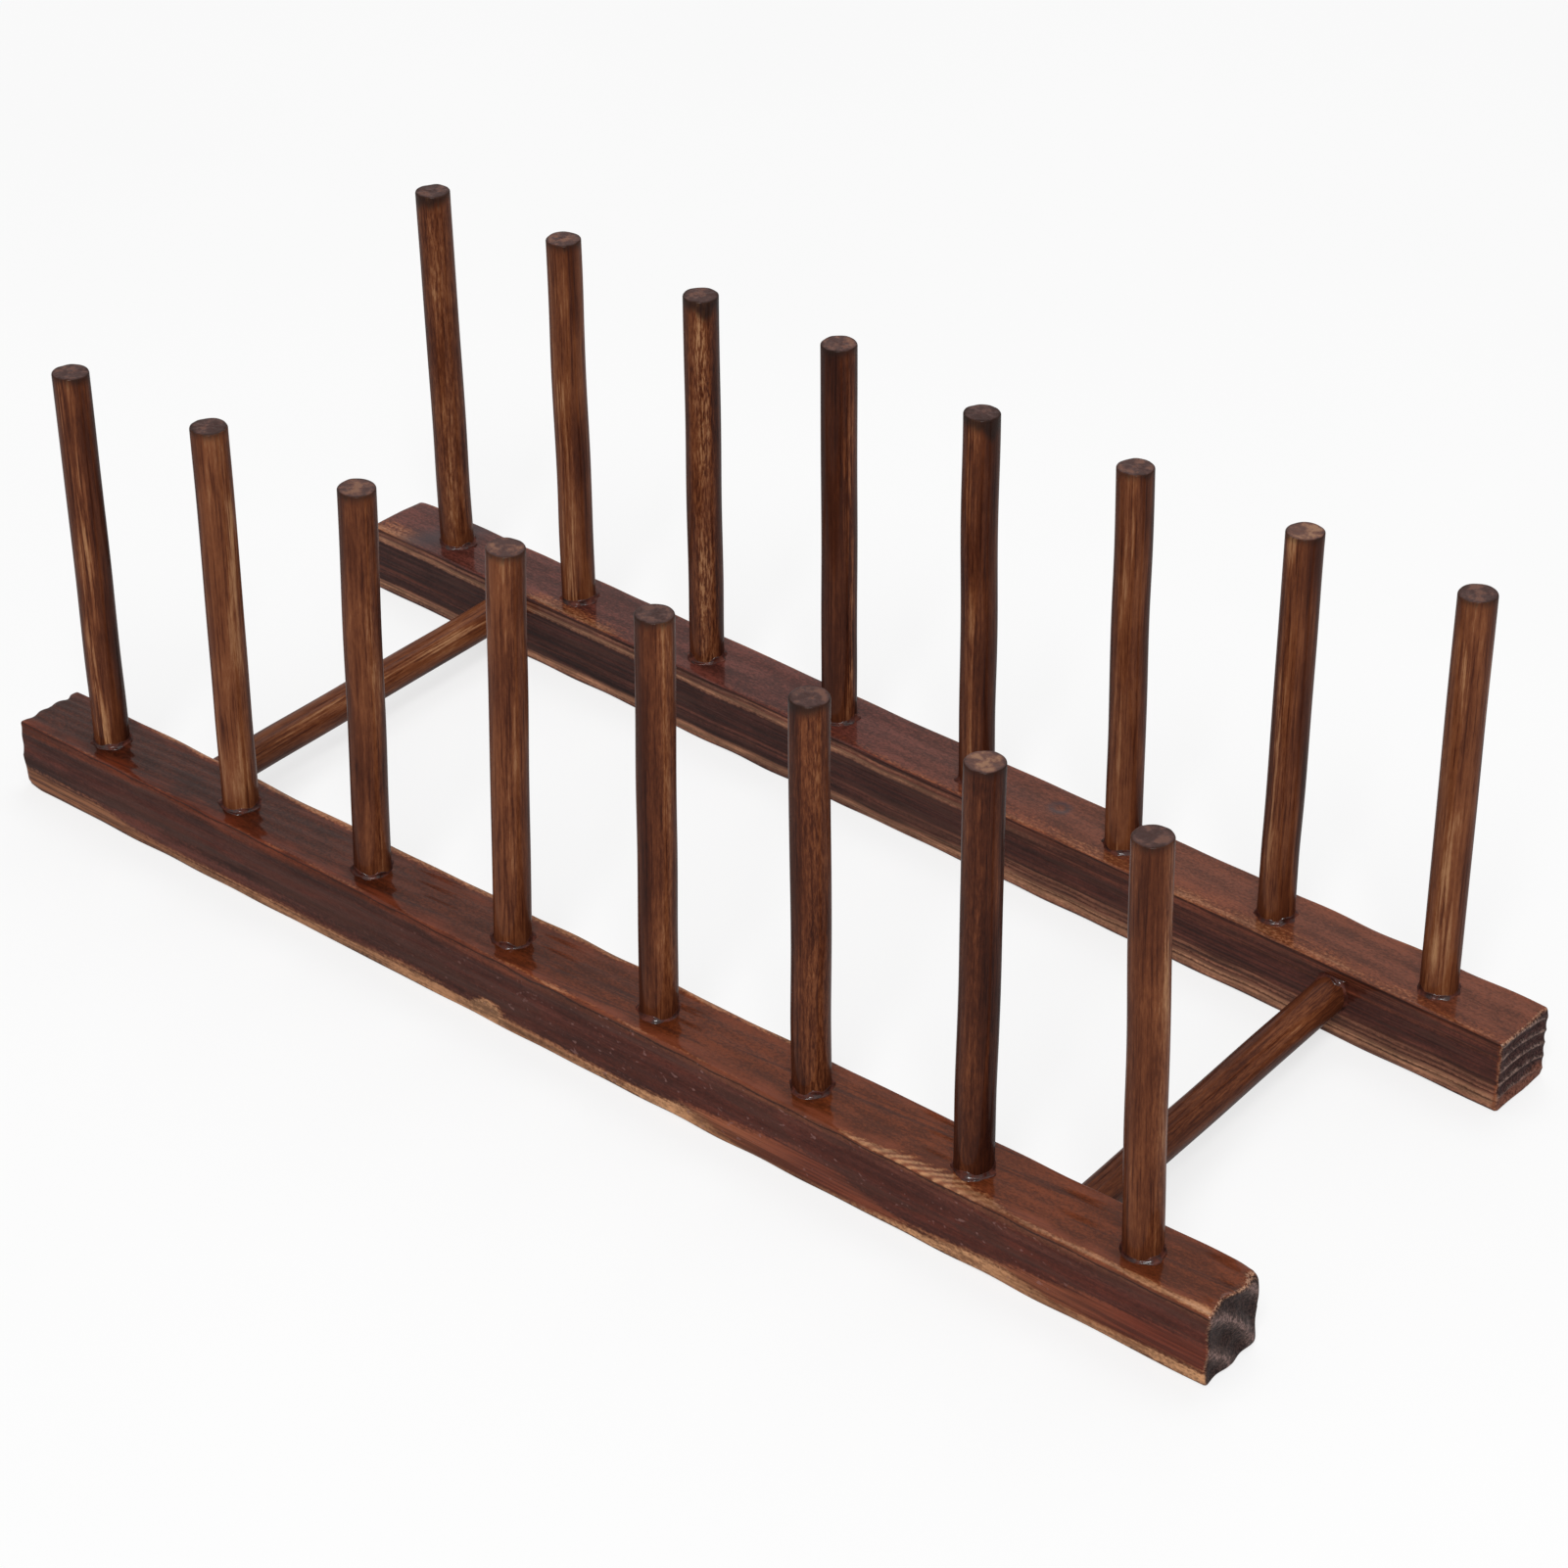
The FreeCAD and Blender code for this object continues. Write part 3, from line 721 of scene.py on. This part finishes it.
TOP_COAT, SIDE_COAT, END_COAT, PEG_COAT, GLUE_COAT = 0.30, 0.18, 0.02, 0.11, 1.0
GLOSS = {"Coat_Roughness": 0.10, "Specular_IOR_Level": 0.03}
GLUE_SHINE = {"Coat_Roughness": 0.12, "Specular_IOR_Level": 0.05}

CHAR = colour(0.016, 0.008, 0.006)
BLACK_BROWN = colour(0.020, 0.006, 0.004)
FRONT_TOP_LEFT = colour(0.039, 0.008, 0.003)
FRONT_TOP_RIGHT = colour(0.102, 0.022, 0.006)
BACK_TOP_LEFT = colour(0.076, 0.020, 0.014)
BACK_TOP_RIGHT = colour(0.118, 0.033, 0.016)
SIDE_GREY = colour(0.055, 0.014, 0.008)
SIDE_BROWN = colour(0.088, 0.018, 0.010)
SIDE_SMOKE = colour(0.046, 0.017, 0.011)
SIDE_DARK = colour(0.050, 0.013, 0.009)
WARM_LEFT = colour(0.085, 0.021, 0.013)
WARM_RIGHT = colour(0.115, 0.023, 0.011)
BROWN_TAN = colour(0.170, 0.064, 0.028)
TAN = colour(0.500, 0.255, 0.125)
AMBER = colour(0.250, 0.078, 0.034)
WORN_DARK = colour(0.120, 0.022, 0.008)
WORN_RED = colour(0.180, 0.045, 0.020)
WORN_ORANGE = colour(0.260, 0.090, 0.032)
WORN_TAN = colour(0.460, 0.230, 0.115)
LINE_DARK = colour(0.038, 0.010, 0.007)
LINE_RED = colour(0.066, 0.018, 0.010)
LINE_BROWN = colour(0.105, 0.030, 0.019)
LINE_LIGHT = colour(0.240, 0.095, 0.055)
LINE_TAN = colour(0.400, 0.190, 0.105)
SPECK = colour(0.250, 0.125, 0.110)
SHADE_PATCH_AND_RING = colour(0.044, 0.026, 0.028)
CREST = colour(0.190, 0.120, 0.108)
SLOPE = colour(0.078, 0.049, 0.044)
COVE = colour(0.032, 0.019, 0.018)
BACK_CREST = colour(0.220, 0.140, 0.118)
BACK_COVE = colour(0.044, 0.020, 0.019)
BACK_DARK = colour(0.070, 0.017, 0.011)
RED_BROWN = colour(0.130, 0.034, 0.018)
RED_FOOT = colour(0.180, 0.066, 0.042)
EDGE_TAN = colour(0.420, 0.230, 0.140)
EDGE_RED = colour(0.130, 0.027, 0.010)
EDGE_ORANGE = colour(0.165, 0.050, 0.024)

# Colours of the rails' sides at heights in millimetres, near the left end and near the right end. The dark
# stop at height 0 is painted shade along the foot.
FRONT_BANDS_LEFT = ((0.0, LINE_DARK), (0.9, SIDE_GREY), (8.0, SIDE_GREY), (10.0, SIDE_BROWN),
                    (14.2, SIDE_GREY), (15.4, EDGE_RED), (17.0, EDGE_RED))
FRONT_BANDS_RIGHT = ((0.0, LINE_DARK), (0.7, SIDE_BROWN), (12.6, SIDE_BROWN), (13.8, LINE_BROWN),
                     (14.6, SIDE_BROWN), (15.6, EDGE_ORANGE), (17.0, EDGE_ORANGE))
BACK_BANDS_LEFT = ((0.0, LINE_DARK), (0.8, LINE_LIGHT), (1.8, LINE_TAN), (2.8, LINE_LIGHT), (3.2, LINE_DARK),
                   (4.9, SIDE_DARK), (5.2, LINE_BROWN), (5.5, SIDE_DARK), (6.1, LINE_BROWN),
                   (6.5, LINE_BROWN), (6.8, SIDE_DARK), (13.3, SIDE_DARK), (13.6, LINE_LIGHT),
                   (14.4, LINE_TAN), (15.2, LINE_BROWN), (15.9, LINE_LIGHT), (16.3, LINE_DARK))
BACK_BANDS_RIGHT = ((0.0, LINE_DARK), (0.7, LINE_LIGHT), (2.2, LINE_TAN), (2.6, LINE_RED), (3.0, LINE_TAN),
                    (3.9, LINE_LIGHT), (4.3, LINE_RED), (4.8, LINE_LIGHT), (5.3, LINE_RED), (6.1, LINE_LIGHT),
                    (6.6, LINE_RED), (7.6, LINE_BROWN), (8.1, BACK_DARK), (12.0, BACK_DARK),
                    (13.0, RED_BROWN), (14.0, BACK_DARK), (15.0, RED_BROWN), (16.0, RED_BROWN),
                    (16.5, LINE_DARK))

# Colours of the ends from a growth layer's crest to the hollow beside it.
FRONT_ENDS = ((0.0, CREST), (0.25, SLOPE), (0.6, COVE))
BACK_ENDS = ((0.03, BACK_CREST), (0.2, SLOPE), (0.45, BACK_COVE))

# foot is the strength of a reddish foot at the ends, lines of the fine lines on the sides and veins of
# the dark grain lines on the top.
RailLook = namedtuple("RailLook", "top_left top_right left_bands right_bands ends foot lines veins")
RAIL_LOOKS = {
    "front": RailLook(FRONT_TOP_LEFT, FRONT_TOP_RIGHT, FRONT_BANDS_LEFT, FRONT_BANDS_RIGHT, FRONT_ENDS,
                      foot=0.0, lines=0.25, veins=0.5),
    "back": RailLook(BACK_TOP_LEFT, BACK_TOP_RIGHT, BACK_BANDS_LEFT, BACK_BANDS_RIGHT, BACK_ENDS,
                     foot=0.8, lines=0.7, veins=0.1),
}

# Colours of worn edges from slight to full wear, where little and where much of the finish is gone.
DULL_WEAR = ((0.2, WORN_DARK), (1.0, WORN_RED))
BRIGHT_WEAR = ((0.15, WORN_RED), (0.6, WORN_ORANGE), (1.0, WORN_TAN))

# Colours of the dowels' wood and of its sawn ends, from scorched to golden.
PEG_TONES = ((0.0, colour(0.020, 0.005, 0.003)), (0.33, colour(0.055, 0.014, 0.006)),
             (0.53, colour(0.100, 0.028, 0.011)), (0.72, colour(0.175, 0.057, 0.022)),
             (0.86, colour(0.265, 0.117, 0.053)), (1.0, colour(0.420, 0.215, 0.100)))
SAWN_TONES = ((0.0, colour(0.020, 0.010, 0.008)), (0.5, colour(0.080, 0.044, 0.039)),
              (0.75, colour(0.155, 0.076, 0.056)), (1.0, colour(0.300, 0.165, 0.100)))
GLUE_TONES = ((0.35, LINE_BROWN), (0.5, SIDE_DARK), (0.65, BLACK_BROWN))
GOLD_TONE = 1.0

# Brush strokes across a worn edge, as the turn in radians for each millimetre along, across and up.
HATCH = (2.1, -3.0, 0.0)

# How far the dark grain lines of a top are turned from the rail's length, in radians.
GRAIN_SLANT = -0.09

# The stretch of a noise that runs alike in all directions. The others are drawn out along the grain, which
# runs along x in a rail and along z in a dowel.
EVEN = (1.0, 1.0, 1.0)

RailNoises = namedtuple("RailNoises", "grain fine streak soft blotch pores body mottled ragged")


def rail_noises(tree):
    """The noises that several parts of a rail's material share."""
    grain = tree.grain()
    fine = tree.noise(grain, (0.6, 1.0, 1.0), scale=2.0, detail=2.0, roughness=0.6)
    streak = tree.noise(grain, (0.03, 1.0, 1.0), scale=1.1, detail=4.0, roughness=0.6)
    soft = tree.noise(grain, (0.03, 0.25, 0.25), scale=1.0, detail=3.0, roughness=0.55)
    blotch = tree.noise(grain, (0.25, 1.0, 1.0), scale=0.4, detail=4.0, roughness=0.65)
    pores = tree.noise(grain, EVEN, scale=1.7, detail=4.0, roughness=0.8)
    body = tree.add(tree.times(tree.add(soft, blotch), 0.3),
                    tree.add(tree.times(streak, 0.2), tree.times(fine, 0.2)))
    mottled = tree.add(tree.times(tree.add(blotch, fine), 0.35), tree.times(soft, 0.3))
    ragged = tree.minus(tree.add(streak, fine), 1.0)
    return RailNoises(grain, fine, streak, soft, blotch, pores, body, mottled, ragged)


def rail_side(tree, noises, look, height):
    """The sides: long bands, darker and lighter grain, fine lines and smoky patches."""
    band = tree.math("DIVIDE", tree.rough("band", noises.ragged, 0.7), height)
    left = tree.ramp(band, [(level / height, tone) for level, tone in look.left_bands])
    right = tree.ramp(band, [(level / height, tone) for level, tone in look.right_bands])
    side = tree.mix(tree.field("right"), left, right)
    side = tree.dimmed(side, noises.body, (0.5, 0.80, 1.2))
    lines = tree.noise(noises.grain, (0.012, 0.3, 1.0), scale=2.2, detail=3.0, roughness=0.6)
    side = tree.dimmed(side, lines, (0.45, 0.95, 1.3), look.lines)
    return tree.mix(tree.step(noises.soft, 0.50, 0.60, most=0.5), side, SIDE_SMOKE)


def rail_top(tree, noises, look):
    """The top: mottled, redder near its edges, with dark slanting grain lines."""
    right = tree.field("right")
    top = tree.mix(right, tree.ramp(noises.mottled, shades(look.top_left, 0.55, 1.7)),
                   tree.ramp(noises.mottled, shades(look.top_right, 0.62, 1.45)))
    glow = tree.times(tree.field("glow"), tree.step(noises.blotch, 0.35, 0.65, least=0.4, most=0.95))
    top = tree.mix(glow, top, tree.mix(right, WORN_DARK, WORN_RED))
    turn = {"Vector": noises.grain, "Angle": GRAIN_SLANT}
    slanted = tree.node("ShaderNodeVectorRotate", turn, rotation_type="Z_AXIS").outputs[0]
    veins = tree.noise(slanted, (0.03, 1.0, 1.0), scale=0.9, detail=3.0, roughness=0.6)
    return tree.mix(tree.step(veins, 0.43, 0.35, most=look.veins), top, BLACK_BROWN)


def add_wedges(tree, noises, wood):
    """Reddish and amber wedges along the front face."""
    rosy = tree.mix(tree.field("warm_right"), tree.ramp(noises.body, shades(WARM_LEFT, 0.6, 1.5)),
                    tree.ramp(noises.streak, shades(WARM_RIGHT, 0.7, 1.45)))
    rosy = tree.mix(tree.field("amber"), rosy, tree.ramp(noises.streak, shades(AMBER, 0.55, 1.4)))
    warm = tree.step(tree.rough("warm", noises.ragged, 2.5), -1.0, 0.8, most=0.8)
    return tree.mix(warm, wood, rosy)


def add_bare_strips(tree, noises, wood):
    """Bare strips, pale inside and brown along their borders, and a dark line of painted shade along the
    rail's foot.
    """
    strip = tree.rough("bare", noises.ragged, 2.0)
    pale = tree.times(tree.field("pale"), tree.step(strip, -0.3, 1.0))
    tan = tree.mix(pale, tree.ramp(noises.streak, shades(BROWN_TAN, 0.6, 1.5)),
                   tree.ramp(noises.mottled, shades(TAN, 0.5, 1.3)))
    patches = tree.add(tree.times(noises.streak, 0.6), tree.times(noises.blotch, 0.4))
    broken = tree.step(patches, 0.43, 0.55, least=0.65)
    wood = tree.mix(tree.times(tree.step(strip, -0.9, 0.4), broken), wood, tan)
    # Painted shade: a dark line along the foot, where the rail meets the floor.
    foot = tree.step(tree.add(tree.field("band"), noises.ragged), 0.8, 0.2, most=0.7)
    return tree.mix(foot, wood, LINE_DARK)


def add_worn_edges(tree, noises, wood):
    """Worn upper edges, hatched by the brush in one place, with a fine dark crack along them."""
    across = tree.node("ShaderNodeVectorMath", {0: noises.grain, 1: HATCH}, operation="DOT_PRODUCT")
    strokes = tree.math("SINE", tree.add(across.outputs["Value"], tree.times(noises.blotch, 8.0)))
    hatch = tree.times(strokes, tree.field("nicks"))
    rough_edge = tree.add(tree.times(noises.ragged, 1.6), tree.times(hatch, 0.6))
    wear = tree.step(tree.add(tree.field("wear"), rough_edge), -1.0, 0.9)
    gone = tree.add(tree.field("worn"), hatch)
    worn = tree.mix(gone, tree.ramp(wear, DULL_WEAR), tree.ramp(wear, BRIGHT_WEAR))
    worn = tree.dimmed(worn, noises.mottled, (0.6, 0.9, 1.2))
    wood = tree.mix(tree.step(wear, 0.0, 0.7, most=0.85), wood, worn)
    crack = tree.math("ABSOLUTE", tree.rough("crack", noises.ragged, 0.5))
    return tree.mix(tree.step(crack, 0.3, 0.1, most=0.8), wood, BLACK_BROWN)


def add_marks(tree, noises, wood):
    """Pale specks on the front face, and on the back rail's top a patch of painted shade and a dark ring
    round the dent.
    """
    dots = tree.noise(noises.grain, (0.7, 1.0, 1.0), scale=0.9, detail=1.0, roughness=0.5)
    specks = tree.times(tree.field("speck"), tree.step(dots, 0.67, 0.78, most=0.5))
    # The stain field is a patch of painted shade beside the first back peg and a dark ring round the dent.
    return tree.mix(tree.field("stain"), tree.mix(specks, wood, SPECK), SHADE_PATCH_AND_RING)


def rail_end(tree, noises, look):
    """The ends: pale crests and dark hollows between the growth layers, on some over a reddish foot."""
    hollow = tree.times(tree.math("PINGPONG", tree.field("layers"), 0.5), 2.0)
    lumps = tree.noise(noises.grain, EVEN, scale=0.7, detail=4.0, roughness=0.7)
    sawn = tree.ramp(tree.add(hollow, tree.step(lumps, 0.35, 0.65, least=-0.16, most=0.16)), look.ends)
    sawn = tree.dimmed(sawn, noises.pores, (0.4, 0.85, 1.5), places=WIDE_NOISE_PLACES)
    if look.foot:
        low_end = tree.step(tree.rough("band", noises.ragged, 2.0), 4.2, 2.8, most=look.foot)
        sawn = tree.mix(low_end, sawn, tree.ramp(noises.pores, shades(RED_FOOT, 0.4, 1.3)))
    return sawn


def rail_material(name, look, height):
    """Scorched, brushed and varnished softwood: banded sides, soft grain, bare and worn strips and ends."""
    tree = Tree(bpy.data.materials.new(name))
    noises = rail_noises(tree)
    upward, end = tree.field("upward"), tree.field("end")
    wood = tree.mix(upward, rail_side(tree, noises, look, height), rail_top(tree, noises, look))
    for add_layer in (add_wedges, add_bare_strips, add_worn_edges, add_marks):
        wood = add_layer(tree, noises, wood)
    wood = tree.mix(end, wood, rail_end(tree, noises, look))
    rim = tree.times(tree.field("rim"), tree.step(noises.pores, 0.46, 0.58, most=0.7))
    wood = tree.mix(rim, wood, EDGE_TAN)
    roughness = tree.step(noises.body, 0.4, 0.6, least=0.60, most=0.45)
    relief = tree.add(tree.add(noises.streak, tree.times(noises.fine, 0.5)), tree.times(noises.pores, end))
    varnish = tree.step(upward, 0.0, 1.0, SIDE_COAT, TOP_COAT)
    return tree.finish(wood, roughness, relief, tree.step(end, 0.0, 1.0, varnish, END_COAT), **GLOSS)


def dowel_material(name):
    """Scorched and varnished dowel: fine straight fibres, pale streaks, dark lines and charred sawn ends."""
    tree = Tree(bpy.data.materials.new(name))
    grain = tree.grain()
    fine = tree.noise(grain, (1.0, 1.0, 0.03), scale=1.8, detail=3.0, roughness=0.6)
    middling = tree.noise(grain, (1.0, 1.0, 0.018), scale=0.9, detail=3.0, roughness=0.55)
    patch = tree.noise(grain, (1.0, 1.0, 0.16), scale=2.4, detail=4.0, roughness=0.7)
    cloud = tree.noise(grain, (1.0, 1.0, 0.25), scale=0.22, detail=2.0, roughness=0.5)
    bundles = tree.noise(grain, (1.0, 1.0, 0.1), scale=0.4, detail=4.0, roughness=0.6)
    gold, mottle, top = tree.field("gold"), tree.field("mottle"), tree.field("top")
    threads = tree.add(tree.times(fine, 0.5), tree.times(middling, 0.5))
    # The tone field holds painted shade on the dowel's sides as seen from the camera.
    tone = tree.add(tree.field("tone"), tree.swing(threads, 0.8))
    uneven = tree.swing(patch, tree.step(mottle, 0.0, 1.0, least=0.3, most=0.9))
    tone = tree.add(tone, tree.add(uneven, tree.swing(cloud, 0.6)))
    blend = tree.add(tree.times(fine, 0.6), tree.times(tree.add(middling, cloud), 0.2))
    crisp = tree.step(tree.add(blend, tree.step(gold, 0.0, 1.0, least=-0.12, most=0.02)), 0.45, 0.55)
    grainy = tree.minus(tree.step(patch, 0.40, 0.60, least=0.1, most=0.9), crisp)
    lift = tree.times(gold, tree.add(crisp, tree.times(mottle, grainy)))
    tone = tree.add(tone, tree.times(lift, tree.minus(GOLD_TONE, tone)))
    tone = tree.minus(tone, tree.step(fine, 0.43, 0.35, most=0.16))
    ragged = tree.minus(tree.add(threads, patch), 1.0)
    char = tree.step(tree.rough("char", ragged, 4.0), -1.8, 1.0, most=0.85)
    wood = tree.mix(char, tree.ramp(tone, PEG_TONES), CHAR)
    sawn = tree.add(tree.field("sawn"), tree.step(bundles, 0.38, 0.62, least=-0.18, most=0.18))
    wood = tree.mix(top, wood, tree.ramp(sawn, SAWN_TONES))
    roughness = tree.step(threads, 0.4, 0.6, least=0.55, most=0.40)
    relief = tree.add(threads, tree.times(patch, 0.4))
    return tree.finish(wood, roughness, relief, tree.step(top, 0.0, 1.0, PEG_COAT, END_COAT), **GLOSS)


def glue_material(name):
    """Hardened glue soaked with stain: dark amber and glossy, with faint ripples and thin places."""
    tree = Tree(bpy.data.materials.new(name))
    grain = tree.grain()
    thin = tree.noise(grain, EVEN, scale=0.55, detail=3.0, roughness=0.55)
    ripples = tree.noise(grain, EVEN, scale=0.9, detail=3.0, roughness=0.5)
    roughness = tree.step(ripples, 0.35, 0.65, least=0.3, most=0.6)
    glossy = tree.times(tree.field("glint"), tree.step(thin, 0.43, 0.56, least=0.25, most=GLUE_COAT))
    return tree.finish(tree.ramp(thin, GLUE_TONES), roughness, ripples, glossy, **GLUE_SHINE)


# The studio, in metres: a white world, a pale floor that shines a little to the camera, and two soft square
# lamps. A lamp's level is the share of full light that it gives to a surface facing it.
WHITE = grey(1.0)
WORLD_LIGHT = 0.40
FLOOR_SIZE = 14.0
FLOOR_GLOW = 0.7
FLOOR_TONES = ((0.3, grey(0.86)), (0.7, grey(0.89)))
LAMP_AIM = (0, 0, 0.03)
Lamp = namedtuple("Lamp", "azimuth elevation distance size level")
LAMPS = {
    "key_lamp": Lamp(35, 52, 3.0, 1.0, 0.62),
    "rear_lamp": Lamp(200, 65, 3.0, 1.6, 0.22),
}


def add_world():
    """Even light all round, seen by the camera as plain white."""
    tree = Tree(bpy.data.worlds.new("studio"))
    light = tree.node("ShaderNodeBackground", {"Color": WHITE, "Strength": WORLD_LIGHT})
    white = tree.node("ShaderNodeBackground", {"Color": WHITE, "Strength": 1.0})
    mixed = tree.mix_shaders(tree.seen_rays(), light, white)
    bpy.context.scene.world = tree.output(mixed, "ShaderNodeOutputWorld")


def floor_material(name):
    """A plain pale floor that keeps a soft shadow."""
    tree = Tree(bpy.data.materials.new(name))
    place = tree.node("ShaderNodeTexCoord").outputs["Object"]
    paper = tree.ramp(tree.noise(place, EVEN, scale=6.0, detail=2.0, roughness=0.5), FLOOR_TONES)
    diffuse = tree.node("ShaderNodeBsdfDiffuse", {"Color": paper})
    glow = tree.node("ShaderNodeEmission", {"Color": WHITE, "Strength": 1.0})
    return tree.output(tree.mix_shaders(tree.times(tree.seen_rays(), FLOOR_GLOW), diffuse, glow))


def add_floor(low):
    """A wide floor at the level of the lowest point of the solids."""
    size = FLOOR_SIZE / 2
    mesh = bpy.data.meshes.new("floor")
    corners = [(-size, -size, low), (size, -size, low), (size, size, low), (-size, size, low)]
    mesh.from_pydata(corners, [], [(0, 1, 2, 3)])
    mesh.materials.append(floor_material("pale_floor"))
    floor = bpy.data.objects.new("floor", mesh)
    bpy.context.scene.collection.objects.link(floor)


def aimed(thing, azimuth, elevation, distance, aim):
    """Places a lamp or camera at angles round a point and turns it to look there."""
    back = Vector(bearing(azimuth, elevation))
    thing.location = Vector(aim) + back * distance
    thing.rotation_mode = "QUATERNION"
    thing.rotation_quaternion = (-back).to_track_quat("-Z", "Y")
    bpy.context.scene.collection.objects.link(thing)


def add_lamps():
    for name, lamp in LAMPS.items():
        data = bpy.data.lights.new(name, "AREA")
        data.size = lamp.size
        data.energy = lamp.level * (math.pi * lamp.distance) ** 2
        aimed(bpy.data.objects.new(name, data), lamp.azimuth, lamp.elevation, lamp.distance, LAMP_AIM)


def add_camera():
    data = bpy.data.cameras.new("camera")
    data.sensor_width = CAMERA_SENSOR
    data.lens = CAMERA_LENS
    data.clip_start = CAMERA_NEAREST * MM
    camera = bpy.data.objects.new("camera", data)
    aimed(camera, CAMERA_AZIMUTH, CAMERA_ELEVATION, CAMERA_DISTANCE * MM, Vector(CAMERA_AIM) * MM)
    bpy.context.scene.camera = camera


def add_rows(glue):
    """Both rails, each with its pegs and their beads of glue."""
    peg_wood = dowel_material("peg_wood")
    up = np.array([0.0, 0.0, 1.0])
    count = sum(name.startswith("front_peg_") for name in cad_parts)
    rails = {}
    for row, (side, look) in enumerate(RAIL_LOOKS.items()):
        names = [f"{side}_peg_{n}" for n in range(1, count + 1)]
        pegs = [read_dowel(name, up) for name in names]
        rail = read_rail(side, pegs)
        wood = rail_material(side + "_rail_wood", look, 2 * rail.half[2])
        add_rail(side, rail, wood, RAIL_SEED + row)
        for n, (name, peg) in enumerate(zip(names, pegs)):
            seed = PEG_SEED + PEG_ROW_SEED_STEP * row + n
            add_dowel(name, peg, peg_wood, seed)
            level = (rail.top - peg.foot[2]) / peg.axis[2]
            add_bead(f"{side}_glue_bead_{n + 1}", peg, level, glue, seed)
        rails[side] = rail
    return rails


def add_stretchers(rails, glue):
    """The two rods between the rails, with a bead of glue at each end."""
    stretcher_wood = dowel_material("stretcher_wood")
    across = np.array([0.0, 1.0, 0.0])
    inner_faces = (("front", 1), ("back", -1))
    for n, side in enumerate(("left", "right")):
        rod = read_dowel(f"{side}_stretcher", across)
        add_dowel(f"{side}_stretcher", rod, stretcher_wood, STRETCHER_SEED + n)
        for m, (rail, face) in enumerate(inner_faces):
            normal = rails[rail].axes[1]
            inner = rails[rail].centre + face * rails[rail].half[1] * normal
            level = ((inner - rod.foot) @ normal) / (rod.axis @ normal)
            seed = STRETCHER_BEAD_SEED + len(inner_faces) * n + m
            add_bead(f"{side}_{rail}_glue_bead", rod, level, glue, seed)


glue = glue_material("glue")
add_stretchers(add_rows(glue), glue)
add_world()
add_floor(cad_box[0].z)
add_lamps()
add_camera()
bpy.context.scene.view_settings.view_transform = "Standard"
